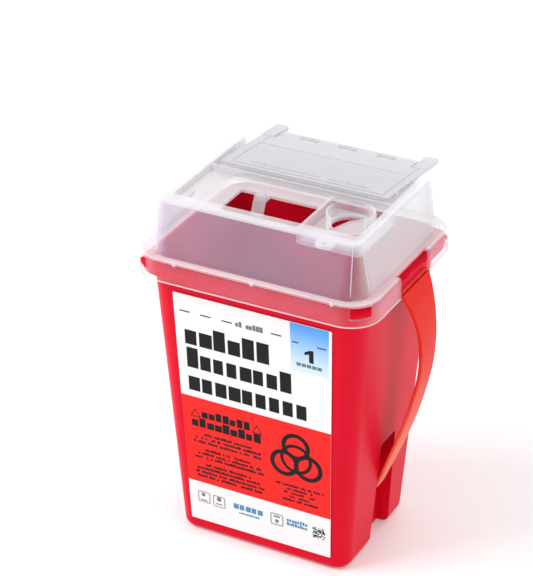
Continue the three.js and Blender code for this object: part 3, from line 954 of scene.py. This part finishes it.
# %% Bead tree
def make_bead_tree():
    grow_bead = Growth("bead_along_path")
    grow_bead.ask("Radius", "NodeSocketFloat", 0.3)
    grow_bead.ask("Sides", "NodeSocketInt", 8)
    grow_bead.ask("Finish", "NodeSocketMaterial", None)
    grow_bead.open()
    path = grow_bead.add("GeometryNodeMeshToCurve", None, {0: grow_bead.given("Geometry")})
    profile = grow_bead.add(
        "GeometryNodeCurvePrimitiveCircle", {"mode": "RADIUS"},
        {"Resolution": grow_bead.given("Sides"), "Radius": grow_bead.given("Radius")},
    )
    bead = grow_bead.add(
        "GeometryNodeCurveToMesh", None, {"Curve": path, "Profile Curve": profile, "Fill Caps": True}
    )
    return grow_bead.close(bead)


def without_strap_cut(points):
    """The run of a ring that starts and ends at the strap's opening."""
    half = STRAP_TOP_HALF + STRAP_SIDE
    open_part = [p for p in points if not (p[0] > 0 and abs(p[1] - STRAP_MID) < half)]
    start = next(i for i, p in enumerate(open_part) if p[0] > 0 and p[1] > STRAP_MID)
    run = open_part[start:] + open_part[:start]
    ends = [(run[0][0], STRAP_MID + half, run[0][2]), (run[-1][0], STRAP_MID - half, run[-1][2])]
    return [ends[0], *run, ends[1]]


bead_tree = make_bead_tree()
# painted highlights: white lines in the edge highlight finish, inside the shoulder's edge and at the skirt's
# foot
shoulder_path = path_shape(without_strap_cut(skirt_ring(SHOULDER_Z - 0.25, 1.5)), closed=False)
shoulder_highlight_line = grow(bead_tree, shoulder_path, Radius=0.24, Sides=10, Finish=edge_highlight_finish)
foot_path = path_shape(without_strap_cut(skirt_ring(SKIRT_Z + 0.5, 0.15)), closed=False)
foot_highlight_bead = grow(bead_tree, foot_path, Radius=0.26, Sides=10, Finish=edge_highlight_finish)
piece("lid_shoulder_highlight_line", shoulder_highlight_line, [edge_highlight_finish], "container")
piece("lid_foot_highlight_bead", foot_highlight_bead, [edge_highlight_finish], "container")


# %% [markdown]
# ## Corner lines
# Light gathers in the bends of the dome's corners and shows as pale upright lines. Refraction
# would give that, but the finish here leaves it out, so the bead tree sweeps two thin pale lines
# up every bend.

# %% Upright lines at the dome's corners
BEND_STEPS = ((2, 8), (4, 10))
RUN_UP = 1.5
RUN_DOWN = 0.8
RUN_PARTS = 8


def corner_runs():
    """Paths up the dome's corner bends, two to a bend, as one set of edges."""
    low = SHOULDER_Z + RUN_UP
    high = TOP_Z - RUN_DOWN
    levels = [low + (high - low) * i / RUN_PARTS for i in range(RUN_PARTS + 1)]
    points = []
    edges = []
    for corner in range(4):
        for step in BEND_STEPS[corner % 2]:
            first = len(points)
            points.extend(dome_ring(z, 0.05)[corner * (CORNER_STEPS + 1) + step] for z in levels)
            edges.extend((first + i, first + i + 1) for i in range(RUN_PARTS))
    shape = bpy.data.meshes.new("corner_runs")
    shape.from_pydata(points, edges, [])
    return shape


corner_lines = grow(bead_tree, corner_runs(), Radius=0.22, Sides=8, Finish=edge_highlight_finish)
piece("lid_corner_lines", corner_lines, [edge_highlight_finish], "container")


# %% [markdown]
# ## Front bumps
# Three small rounded bumps stand along the shoulder's front edge. Instances on points suit a
# shape that repeats: one ball is made, and the tree sets it on each point.

# %% Bumps along the shoulder
def make_bump_tree():
    """Rounded bumps on every point of a shape."""
    grow_bumps = Growth("bump_on_points")
    grow_bumps.ask("Radius", "NodeSocketFloat", 1.0)
    grow_bumps.ask("Finish", "NodeSocketMaterial", None)
    grow_bumps.open()
    points = grow_bumps.add("GeometryNodeMeshToPoints", None, {0: grow_bumps.given("Geometry")})
    ball = grow_bumps.add(
        "GeometryNodeMeshUVSphere", None,
        {"Segments": 20, "Rings": 12, "Radius": grow_bumps.given("Radius")},
    )
    placed = grow_bumps.add("GeometryNodeInstanceOnPoints", None, {"Points": points, "Instance": ball})
    return grow_bumps.close(placed)


def points_shape(points):
    shape = bpy.data.meshes.new("points")
    shape.from_pydata(points, [], [])
    return shape


BUMP_MID = 3
BUMP_STEP = 35.4
BUMPS_AT = (BUMP_MID - BUMP_STEP, BUMP_MID, BUMP_MID + BUMP_STEP)
bump_tree = make_bump_tree()
bump_points = points_shape([(x, -SKIRT_Y + 0.6, SHOULDER_Z - 0.45) for x in BUMPS_AT])
bumps = grow(bump_tree, bump_points, Radius=0.85, Finish=edge_highlight_finish)
piece("lid_front_bumps", bumps, [edge_highlight_finish], "container")

# %% [markdown]
# ## Needle well
# The well is a short cup on the lower deck, with no wall at its front. Most of its floor is there
# to grip a needle's hub, and a curved opening with a kink lets the needle fall. The opening is an
# outline worked out along an arc and cut through the floor.

# %% Needle well
WELL_R = 9.3
WELL_WALL = 0.9
WELL_LOW = WELL_DECK_Z + GAP
WELL_HIGH = TOP_Z - 0.4
HOLE_R = 8.0
HOLE_ARC = (1.12, 4.1)
WELL_OPEN = (4.2, 5.75)
WELL_FLOOR = 1.2


def round_ring(radius, z, steps=64):
    return [(x, y, z) for x, y in circle(WELL.x, WELL.y, radius, steps)]


def make_well():
    outer = WELL_R + WELL_WALL
    lip = quarter((WELL_R + WELL_WALL / 2, WELL_HIGH - 0.45), 0.45, 0, 2, 6)
    floor = quarter((WELL_R - 0.8, WELL_LOW + 2), 0.8, 0, -1, 4)
    profile = [(outer - 0.2, WELL_LOW), (outer, WELL_LOW + 0.2), *lip, *floor]
    cup = loft([round_ring(radius, z) for radius, z in profile])
    first, last = HOLE_ARC
    turns = [first + (last - first) * i / 26 for i in range(27)]
    outline = [(WELL.x + HOLE_R * math.cos(a), WELL.y + HOLE_R * math.sin(a)) for a in turns]
    outline.append((WELL.x - HOLE_R * 0.33, WELL.y - HOLE_R * 0.12))
    outline.append((WELL.x - HOLE_R * 0.2, WELL.y + HOLE_R * 0.24))
    hole = prism(outline, WELL_LOW - 2, WELL_LOW + 4)
    reach = 2 * WELL_R
    wedge = [(WELL.x, WELL.y)]
    wedge += [(WELL.x + reach * math.cos(a), WELL.y + reach * math.sin(a)) for a in WELL_OPEN]
    front = prism(wedge, WELL_LOW + WELL_FLOOR, WELL_HIGH + 2)
    return soften(cut(cup, hole, front), 0.18, 2, 1)


piece(
    "needle_well_cup", make_well(), [clear_finish, edge_highlight_finish], "container",
    ["needle_well"],
)

# %% [markdown]
# ## Mouth finger
# The finger is a springy tongue that leans up from the mouth's rear edge and keeps what is
# dropped from coming back. It is a plate, a rib and a foot, each a closed shape, joined into one.

# %% Mouth finger
FINGER_X = -11.2
FINGER_HALF = 2.7
FINGER_THICK = 1.1
FINGER_LONG = 10.0
FINGER_LEAN = 0.44


def make_finger():
    tip = Matrix.Translation((FINGER_X, MOUTH_REAR - FINGER_OFF, TOP_Z - 1.1))
    turn = tip @ Matrix.Rotation(-FINGER_LEAN, 4, "X") @ Matrix.Rotation(math.pi / 2, 4, "X")
    face = rectangle(-FINGER_HALF, -FINGER_LONG, FINGER_HALF, 0, 0.7)
    plate = prism(face, -FINGER_THICK / 2, FINGER_THICK / 2, turn)
    rib = prism(rectangle(-1.7, -FINGER_LONG + 1, 1.7, -1, 0.5), 0, FINGER_THICK / 2 + 0.25, turn)
    foot = block(
        (FINGER_X - FINGER_HALF, MOUTH_REAR - FINGER_OFF - 1.3, DECK_Z - LID_WALL),
        (FINGER_X + FINGER_HALF, MOUTH_REAR - GAP / 6, DECK_Z),
    )
    return soften(join(plate, rib, foot), 0.22, 2, 1)


piece(
    "mouth_finger_tongue", make_finger(), [flap_finish, edge_highlight_finish], "container",
    ["mouth_finger"],
)

# %% [markdown]
# ## Flap
# The flap is drawn flat, x along its fold and y away from it, then laid at its small droop. Its
# two sprung arms, the slots near its far edge and the step across it are cut and joined, and
# small nubs along its side edges are spread by the bump tree. A thin bead stays on the fold
# line, where the living hinge is, so it suits every angle of the flap.

# %% Flap
FLAP_HALF = 38.5
FLAP_LONG = 46.5
FLAP_THICK = 1.2
FLAP_DROOP = 0.087
ARM_WIDE = 6.0
ARM_END = FLAP_LONG + 6.6
ARM_LONG = 15.0
ARM_THICK = 1.8
ARM_SLIT = 0.9
FLAP_PLACE = Matrix.Translation(HINGE) @ Matrix.Rotation(-FLAP_DROOP, 4, "X")


def make_flap():
    low = -FLAP_THICK / 2
    panel = prism(rectangle(-FLAP_HALF, 0.8, FLAP_HALF, FLAP_LONG, 1), low, -low)
    parts = []
    cuts = []
    for side in (-1, 1):
        across = sorted((side * FLAP_HALF, side * (FLAP_HALF - ARM_WIDE)))
        arm = rectangle(across[0], ARM_END - ARM_LONG, across[1], ARM_END, 1.4)
        parts.append(prism(arm, -ARM_THICK / 2, ARM_THICK / 2))
        inner = sorted((side * (FLAP_HALF - ARM_WIDE), side * (FLAP_HALF - ARM_WIDE - ARM_SLIT)))
        cuts.append(block((inner[0], ARM_END - ARM_LONG, -3), (inner[1], FLAP_LONG + 2, 3)))
        border = sorted((side * (FLAP_HALF - 3.4), side * (FLAP_HALF - 4.2)))
        parts.append(block((border[0], 2, 0), (border[1], ARM_END - ARM_LONG, 0.85)))
    parts.append(block((-FLAP_HALF + 4, 28.6, 0), (FLAP_HALF - 4, 29.4, 0.85)))
    parts.append(block((-FLAP_HALF + 4, 3.2, 0), (FLAP_HALF - 4, 4.0, 0.85)))
    for x in (-18, 0, 18):
        slot = rectangle(x - 3.5, FLAP_LONG - 4.6, x + 3.5, FLAP_LONG - 2, 0.6)
        cuts.append(prism(slot, -3, 3))
        sill = rectangle(x - 4.1, FLAP_LONG - 5.2, x + 4.1, FLAP_LONG - 1.4, 0.9)
        parts.append(prism(sill, 0, 0.95))
    flap = cut(join(panel, *parts), *cuts)
    flap = soften(flap, 0.08, 1, 1)
    flap.transform(FLAP_PLACE)
    return flap


piece(
    "flap_panel", make_flap(), [flap_finish, edge_highlight_finish], "flap", ["flap"]
)
nub_points = [(side * FLAP_HALF, at, 0.0) for side in (-1, 1) for at in (8.5, 21)]
nubs = grow(bump_tree, points_shape(nub_points), Radius=0.88, Finish=edge_highlight_finish)
nubs.transform(FLAP_PLACE)
piece("flap_side_nubs", nubs, [edge_highlight_finish], "flap")

hinge_path = path_shape([(float(x), HINGE.y, HINGE.z) for x in range(-37, 38, 2)], closed=False)
hinge_bead = grow(bead_tree, hinge_path, Radius=0.4, Sides=14, Finish=flap_finish)
piece(
    "flap_fold_bead", hinge_bead, [flap_finish], "container", ["flap_hinge_web"]
)

# %% [markdown]
# ## Strap
# The strap bows out from its fold under the flange and tucks into the recess. Its middle line is
# a short list of points: the share of the fold's height and how far it stands out of the wall.
# A flat section with round edges is lofted along it, as wide as the strap is at each height.

# %% Strap band
STRAP_THICK = 1.6
STRAP_ROOT = 1.2
STRAP_BOW = [
    (0.922, 9.7), (0.84, 12.8), (0.763, 14), (0.678, 13.9), (0.578, 12),
    (0.485, 9.5), (0.393, 6.2), (0.308, 2.8), (0.2465, 0.24), (0.2157, -1.09),
]
STRAP_WIDTHS = [
    (1.015, 12.5), (0.977, 12.5), (0.925, 10.6), (0.847, 8.5), (0.77, 7.5),
    (0.678, 6.9), (0.508, 6.9), (0.37, 6.6), (0.3, 5.4), (0.254, 4.3), (0.154, 4),
]


def smooth_line(points, per_span=10):
    """Catmull-Rom points through a list of 2-D points."""
    ends = [points[0], *points, points[-1]]
    line = []
    for i in range(len(points) - 1):
        a, b, c, d = (Vector(p) for p in ends[i:i + 4])
        for step in range(per_span):
            t = step / per_span
            line.append(
                ((b * 2) + (c - a) * t + (a * 2 - b * 5 + c * 4 - d) * t**2
                 + (b * 3 - a - c * 3 + d) * t**3) / 2
            )
    line.append(Vector(points[-1]))
    return line


def strap_half(z):
    share = z / FOLD.z
    line = smooth_line([(s, half) for s, half in STRAP_WIDTHS])
    for high, low in zip(line, line[1:]):
        if low.x <= share <= high.x:
            t = (share - low.x) / max(high.x - low.x, 1e-6)
            return low.y + (high.y - low.y) * t
    return STRAP_WIDTHS[0][1]


def strap_section(centre, across, half, thick):
    """A flat section with round edges, across the line."""
    edge = thick / 2
    points = []
    for side in (1, -1):
        for step in range(7):
            turn = (-0.5 + step / 6) * math.pi
            y = side * (half - edge + edge * math.cos(turn))
            out = side * edge * math.sin(turn)
            points.append((
                centre.x + across.x * out, STRAP_MID + y, centre.y + across.y * out,
            ))
    return points


def make_strap():
    root = (FOLD.x + 0.4, FOLD.z - STRAP_ROOT)
    bow = [(wall_x(s * FOLD.z) + out, s * FOLD.z) for s, out in STRAP_BOW]
    line = smooth_line([root, *bow])
    rings = []
    for i, at in enumerate(line):
        along = line[min(i + 1, len(line) - 1)] - line[max(i - 1, 0)]
        along.normalize()
        across = Vector((-along.y, along.x))
        rings.append(strap_section(at, across, strap_half(at.y), STRAP_THICK))
    band = loft(rings)
    end = line[-1]
    hook_top = end.y + 1.3
    hook = prism(
        rectangle(RECESS_BACK + CATCH_OUT - 2, STRAP_MID - 2.4, end.x + 0.4, STRAP_MID + 2.4, 0.5),
        hook_top - 1.8, hook_top,
    )
    return join(band, hook)


piece("strap_band", make_strap(), [strap_highlight_finish], "strap", ["strap"])
fold_path = path_shape(
    [(FOLD.x, STRAP_MID + y, FOLD.z) for y in range(-12, 13, 2)], closed=False
)
fold_bead = grow(bead_tree, fold_path, Radius=0.62, Sides=16, Finish=strap_highlight_finish)
piece("strap_fold_bead", fold_bead, [strap_highlight_finish], "container", ["strap_hinge_web"])

# %% [markdown]
# ## Label
# The label lies on the leaning front wall. It is drawn flat, x across and y up the wall, and
# turned once. Its words are not copied: rows of small blocks stand for lines of type, as in a
# layout dummy, and plain marks stand for its symbols.

# %% Label film and colour fields
LABEL_LIFT = 0.25
LABEL_PLACE = Matrix.Translation((0, -BASE_Y - GAP, 0)) @ Matrix.Rotation(
    math.pi / 2 + math.atan(DRAFT), 4, "X"
)
LABEL_LOW = 6.6
LABEL_HIGH = FLANGE_Z - 7.2
LABEL_LOW_HALF = BASE_X - 6.3
LABEL_TOP_HALF = BASE_X - 3.5
INK = 0.05
LABEL_CORNER = 0.6


def label_half(y):
    share = (y - LABEL_LOW) / (LABEL_HIGH - LABEL_LOW)
    return LABEL_LOW_HALF + (LABEL_TOP_HALF - LABEL_LOW_HALF) * share


def gather(name, shapes, place=LABEL_PLACE):
    """Several shapes as one, put in place."""
    build = bmesh.new()
    for single in shapes:
        build.from_mesh(single)
    shape = bpy.data.meshes.new(name)
    build.to_mesh(shape)
    build.free()
    shape.transform(place)
    return shape


def printed(name, shapes, finish, lift=LABEL_LIFT):
    """One printed piece from several flat shapes, each given as (outline, layer)."""
    flat = [prism(outline, lift + INK * layer, lift + INK * layer + INK) for outline, layer in shapes]
    return piece(name, gather(name, flat), [finish], "container")


def make_film_plate():
    outline = rounded(
        [
            (-LABEL_LOW_HALF, LABEL_LOW), (LABEL_LOW_HALF, LABEL_LOW),
            (LABEL_TOP_HALF, LABEL_HIGH), (-LABEL_TOP_HALF, LABEL_HIGH),
        ],
        LABEL_CORNER,
    )
    plate = soften(prism(outline, 0, LABEL_LIFT), 0.08, 2)
    plate.transform(LABEL_PLACE)
    return plate


piece("label_film_sheet", make_film_plate(), [film_finish], "container", ["front_label"])
BAND_LOW = 27.2
BAND_HIGH = 71.5
red_band = [
    (-label_half(BAND_LOW), BAND_LOW), (label_half(BAND_LOW), BAND_LOW),
    (label_half(BAND_HIGH), BAND_HIGH), (-label_half(BAND_HIGH), BAND_HIGH),
]
printed("label_red_band", [(red_band, 0)], red_ink)
blue_patch = [(17.6, 98.6), (34.4, 98.6), (35.0, LABEL_HIGH - 0.2), (17.6, LABEL_HIGH - 0.2)]
printed("label_blue_patch", [(blue_patch, 0)], blue_ink)

# %% [markdown]
# A line of dummy type is a row of points with a small block on each. The tree takes the number
# of letters, their pitch and height, and a seed. Some blocks are taller, as letters with stems
# are, and some are left out, as the spaces between words are.

# %% Tree for a line of dummy type
def make_type_tree():
    grow_type = Growth("dummy_type_line")
    grow_type.ask("Letters", "NodeSocketInt", 8)
    grow_type.ask("Pitch", "NodeSocketFloat", 6.0)
    grow_type.ask("Height", "NodeSocketFloat", 7.0)
    grow_type.ask("Spaces", "NodeSocketFloat", 0.0)
    grow_type.ask("Stems", "NodeSocketFloat", 0.3)
    grow_type.ask("Seed", "NodeSocketInt", 1)
    grow_type.ask("Finish", "NodeSocketMaterial", None)
    grow_type.open()
    step = grow_type.add(
        "ShaderNodeCombineXYZ", None, {0: grow_type.given("Pitch"), 1: 0.0, 2: 0.0}
    )
    row = grow_type.add(
        "GeometryNodeMeshLine", {"mode": "OFFSET"},
        {"Count": grow_type.given("Letters"), "Offset": step},
    )

    def chance(extra):
        return grow_type.add(
            "FunctionNodeRandomValue", {"data_type": "FLOAT"},
            {2: 0.0, 3: 1.0, "Seed": grow_type.given("Seed") + extra}, out=1,
        )

    keep_letter = grow_type.add(
        "FunctionNodeCompare", {"data_type": "FLOAT", "operation": "GREATER_THAN"},
        {0: chance(1), 1: grow_type.given("Spaces")},
    )
    points = grow_type.add(
        "GeometryNodeMeshToPoints", None, {"Mesh": row, "Selection": keep_letter}
    )
    width = grow_type.given("Pitch") * (0.72 + chance(2) * 0.18)
    tall = grow_type.add(
        "FunctionNodeCompare", {"data_type": "FLOAT", "operation": "LESS_THAN"},
        {0: chance(3), 1: grow_type.given("Stems")},
    )
    height = grow_type.given("Height") * (1 + tall * 0.42)
    size = grow_type.add("ShaderNodeCombineXYZ", None, {0: width, 1: height, 2: INK})
    letter = grow_type.add("GeometryNodeMeshCube", None, {"Size": (1.0, 1.0, 1.0)})
    raised = grow_type.add(
        "GeometryNodeTransform", None, {"Geometry": letter, "Translation": (0.5, 0.5, 0.5)}
    )
    placed = grow_type.add(
        "GeometryNodeInstanceOnPoints", None,
        {"Points": points, "Instance": raised, "Scale": size},
    )
    return grow_type.close(placed)


type_tree = make_type_tree()


def type_lines(name, lines, finish, layer=1, place=LABEL_PLACE, lift=LABEL_LIFT, **riding):
    """Several lines of dummy type as one piece: (left, base, letters, pitch, height, spaces, seed)."""
    rows = []
    for left, base, letters, pitch, height, spaces, seed in lines:
        row = grow(
            type_tree, points_shape([]), Letters=letters, Pitch=pitch, Height=height,
            Spaces=spaces, Stems=0.35, Seed=seed, Finish=finish,
        )
        row.transform(Matrix.Translation((left, base, lift + INK * layer)))
        rows.append(row)
    shape = gather(name, rows, place)
    body = riding.get("body", "container")
    return piece(name, shape, [finish], body)


headings = [
    (-31.6, 97.8, 6, 6.7, 7.0, 0.0, 3),
    (-31.2, 86.3, 8, 6.2, 7.0, 0.0, 5),
    (-31.0, 74.8, 9, 6.3, 7.0, 0.0, 11),
]
type_lines("label_heading_type", headings, black_ink, 0)
bold_lines = [(-25.6, 61.8, 7, 3.35, 2.9, 0.0, 4), (-30.6, 56.6, 9, 3.7, 3.2, 0.0, 9)]
type_lines("label_bold_type", bold_lines, black_ink)
fine_lines = []
for block_top, rows in ((52.4, 3), (44.4, 3), (36.6, 4)):
    for row in range(rows):
        indent = 5.0 if row == 0 else 0.8 * (row % 2)
        letters = int((33.5 - 2 * indent) / 0.95)
        seed = int(block_top) + row
        fine_lines.append((-30.0 + indent, block_top - 2.1 * row, letters, 0.95, 0.95, 0.16, seed))
for row in range(5):
    indent = (0, 5.5, 4, 6.5, 3)[row]
    letters = int((23 - 2 * indent) / 0.85)
    fine_lines.append((8.5 + indent, 38.6 - 1.9 * row, letters, 0.85, 0.8, 0.16, 70 + row))
type_lines("label_fine_type", fine_lines, black_ink)
small_lines = [(-7.4, 112.7, 9, 1.58, 1.8, 0.08, 6), (20.1, 101.5, 5, 2.35, 1.6, 0.0, 8)]
type_lines("label_small_type", small_lines, grey_ink)
foot_lines = [
    (-12.3, 18.2, 5, 2.9, 2.7, 0.0, 2), (-9.8, 16.0, 11, 0.9, 0.7, 0.0, 3),
    (13.2, 19.6, 8, 1.25, 1.3, 0.1, 7), (13.2, 17.6, 8, 1.25, 1.2, 0.0, 12),
]
type_lines("label_foot_type", foot_lines, cyan_ink, 0)

# %% [markdown]
# ## Marks on the label
# Outlined marks are a shape and a smaller one, joined by a band of faces. The round mark is a
# plain rosette of three rings, and the grid at the foot is a field of small squares chosen by
# chance, which encodes nothing.

# %% Outlined marks
def hollow(outline, inner, low, high):
    """A flat frame between two outlines with the same number of points."""
    build = bmesh.new()
    layers = [
        [build.verts.new((*p, z)) for p in points]
        for points, z in ((outline, low), (outline, high), (inner, high), (inner, low))
    ]
    count = len(outline)
    for k in range(4):
        first, second = layers[k], layers[(k + 1) % 4]
        for i in range(count):
            j = (i + 1) % count
            build.faces.new((first[i], first[j], second[j], second[i]))
    return to_shape(build)


def marks(name, frames, finish, layer=1):
    """Frames as one piece: (outline, inner outline)."""
    low = LABEL_LIFT + INK * layer
    flat = [hollow(outline, inner, low, low + INK) for outline, inner in frames]
    return piece(name, gather(name, flat), [finish], "container")


def wheel(x, y, radius, thick, steps=40):
    return circle(x, y, radius, steps), circle(x, y, radius - thick, steps)


def tile(x, y, half, thick):
    inner = half - thick
    return (
        rectangle(x - half, y - half, x + half, y + half, 0.9),
        rectangle(x - inner, y - inner, x + inner, y + inner, 0.6),
    )


def triangle(x, y, size, thick):
    turns = [math.pi / 2 + 2 * math.pi * k / 3 for k in range(3)]
    corners = [(x + size * math.cos(a), y + size * math.sin(a)) for a in turns]
    small = size - 2 * thick
    inner = [(x + small * math.cos(a), y + small * math.sin(a)) for a in turns]
    return rounded(corners, 0.6), rounded(inner, 0.3)


ROSETTE = Vector((18.6, 53.6))
rosette_frames = [wheel(ROSETTE.x, ROSETTE.y, 7.4, 1.5)]
for k in range(3):
    turn = math.pi / 2 + 2 * math.pi * k / 3
    rosette_frames.append(
        wheel(ROSETTE.x + 6.4 * math.cos(turn), ROSETTE.y + 6.4 * math.sin(turn), 6.6, 1.9)
    )
for step, frame_pair in enumerate(rosette_frames):
    marks(f"label_rosette_{step + 1}", [frame_pair], black_ink, 1 + step * 0.5)
marks("label_triangles", [triangle(-28.6, 62.8, 2.9, 0.32), triangle(0.6, 62.8, 2.9, 0.32)], black_ink)
tiles = [tile(-26.7, 19.4, 2.9, 0.3), tile(-19.4, 19.1, 2.9, 0.3), tile(8.5, 18.9, 3.0, 0.35)]
marks("label_tiles", tiles, grey_ink)
inside_tiles = [
    (circle(-27.0, 20.6, 0.9, 16), 1), (rectangle(-28.4, 17.4, -25.2, 17.9, 0.1), 1),
    (circle(-19.4, 20.4, 1.1, 16), 1), (rectangle(-20.9, 17.5, -17.9, 18.0, 0.1), 1),
    (rectangle(7.0, 20.0, 10.0, 20.8, 0.2), 1), (circle(8.5, 18.0, 0.9, 16), 1),
]
printed("label_tile_marks", inside_tiles, grey_ink)

# %% [markdown]
# ## Fill line and capacity mark
# Dashes across the label show how full the container may get, and a figure stands under them.
# Both are flat outlines, each a hair above the film so that no two inks share a plane.

# %% Fill-line dashes and the capacity mark
dashes = [(rectangle(x, 113.4, x + 4.8, 113.9, 0.1), 1) for x in (-33.5, -23.7, -13.9, 8.8)]
dashes += [(rectangle(x0, 112.3, x1, 112.8, 0.1), 1) for x0, x1 in ((18.5, 21.2), (29.7, 33.7))]
numeral = [
    (25.9, 104.2), (27.9, 104.2), (27.9, 110.2), (26.4, 110.2), (23.9, 108.8), (23.9, 107.4), (25.9, 108.3),
]
printed("label_fill_marks", dashes + [(numeral, 1)], black_ink)


# %% [markdown]
# ## Chance grid
# A small square code is a grid of dark and light cells. A grid whose cells are kept or dropped by
# a seeded random choice has the same look and says nothing.

# %% Tree for the chance grid
def make_grid_tree():
    grow_grid = Growth("chance_grid")
    grow_grid.ask("Cells", "NodeSocketInt", 12)
    grow_grid.ask("Side", "NodeSocketFloat", 6.0)
    grow_grid.ask("Filled", "NodeSocketFloat", 0.5)
    grow_grid.ask("Seed", "NodeSocketInt", 1)
    grow_grid.ask("Finish", "NodeSocketMaterial", None)
    grow_grid.open()
    cells = grow_grid.given("Cells")
    side = grow_grid.given("Side")
    field = grow_grid.add(
        "GeometryNodeMeshGrid", None,
        {"Size X": side, "Size Y": side, "Vertices X": cells, "Vertices Y": cells},
    )
    chance = grow_grid.add(
        "FunctionNodeRandomValue", {"data_type": "FLOAT"},
        {2: 0.0, 3: 1.0, "Seed": grow_grid.given("Seed")}, out=1,
    )
    filled = grow_grid.add(
        "FunctionNodeCompare", {"data_type": "FLOAT", "operation": "LESS_THAN"},
        {0: chance, 1: grow_grid.given("Filled")},
    )
    points = grow_grid.add("GeometryNodeMeshToPoints", None, {"Mesh": field, "Selection": filled})
    cell = side / (cells - 1) * 0.96
    size = grow_grid.add("ShaderNodeCombineXYZ", None, {0: cell, 1: cell, 2: INK})
    square = grow_grid.add("GeometryNodeMeshCube", None, {"Size": (1.0, 1.0, 1.0)})
    placed = grow_grid.add(
        "GeometryNodeInstanceOnPoints", None, {"Points": points, "Instance": square, "Scale": size}
    )
    return grow_grid.close(placed)


chance_grid = grow(
    make_grid_tree(), points_shape([]), Cells=13, Side=5.4, Filled=0.52, Seed=4, Finish=black_ink
)
chance_grid.transform(Matrix.Translation((28.4, 17.9, LABEL_LIFT + INK / 2)))
chance_grid.transform(LABEL_PLACE)
piece("label_chance_grid", chance_grid, [black_ink], "container")

# %% [markdown]
# ## Raised marks on the flap
# The flap carries a row of raised marks near its fold. The type tree makes a plain row of
# blocks for them too, in the flap's own finish, so they show only by the light they catch.

# %% Raised flap marks
flap_marks = [(-27.0, 6.4, 17, 3.2, 1.9, 0.14, 21)]
type_lines(
    "flap_raised_marks", flap_marks, flap_finish, 0, FLAP_PLACE @ Matrix.Scale(3.0, 4, (0, 0, 1)),
    FLAP_THICK / 6, body="flap", slot="clear_plastic",
)

# %% [markdown]
# ## Stage and light
# A white room: a floor that glows a little, so it stays pale, even light from all round that is
# dimmer than the white background that is seen, a large soft light
# high on the left and a weaker one on the right that puts a soft streak on the strap side.

# %% Floor
def make_floor():
    make = Finish("pale_floor")
    return make.surface(
        Base_Color=rgb(0.93, 0.93, 0.94),
        Roughness=0.8,
        Specular_IOR_Level=0.1,
        Emission_Color=rgb(1.0, 1.0, 1.0),
        Emission_Strength=0.1,
    )


floor_shape = bpy.data.meshes.new("floor")
reach = 3.0
floor_shape.from_pydata(
    [(-reach, -reach, 0), (reach, -reach, 0), (reach, reach, 0), (-reach, reach, 0)],
    [], [(0, 1, 2, 3)],
)
floor_shape.materials.append(make_floor())
floor = bpy.data.objects.new("floor", floor_shape)
bpy.context.scene.collection.objects.link(floor)
floor.location.z = -0.0003


# %% Lights
def soft_light(name, place, aim_at, size, power, colour=(1, 1, 1)):
    light = bpy.data.lights.new(name, "AREA")
    light.shape = "RECTANGLE"
    light.size, light.size_y = size
    light.energy = power
    light.color = colour
    made = bpy.data.objects.new(name, light)
    made.location = place
    made.rotation_euler = (Vector(place) - Vector(aim_at)).to_track_quat("Z", "Y").to_euler()
    bpy.context.scene.collection.objects.link(made)
    return made


soft_light("key", (-0.7, -0.55, 0.95), (0, 0, 0.08), (0.7, 0.7), 9)
soft_light("side", (0.95, -0.1, 0.5), (0, 0, 0.08), (0.5, 0.8), 1.6)
soft_light("back", (0.1, 0.9, 0.8), (0, 0, 0.1), (0.9, 0.4), 4)

world = bpy.data.worlds.new("white_room")
world.use_nodes = True
room = Bench(world.node_tree)
world.node_tree.nodes.clear()
seen = room.add("ShaderNodeBackground", None, {"Color": (1, 1, 1, 1), "Strength": 1.0})
lighting = room.add("ShaderNodeBackground", None, {"Color": (1, 1, 1, 1), "Strength": 0.66})
direct = room.add("ShaderNodeLightPath", None, None, out="Is Camera Ray")
glow = room.add("ShaderNodeMixShader", None, {0: direct, 1: lighting, 2: seen})
room.add("ShaderNodeOutputWorld", None, {"Surface": glow})
bpy.context.scene.world = world
bpy.context.scene.view_settings.view_transform = "Standard"
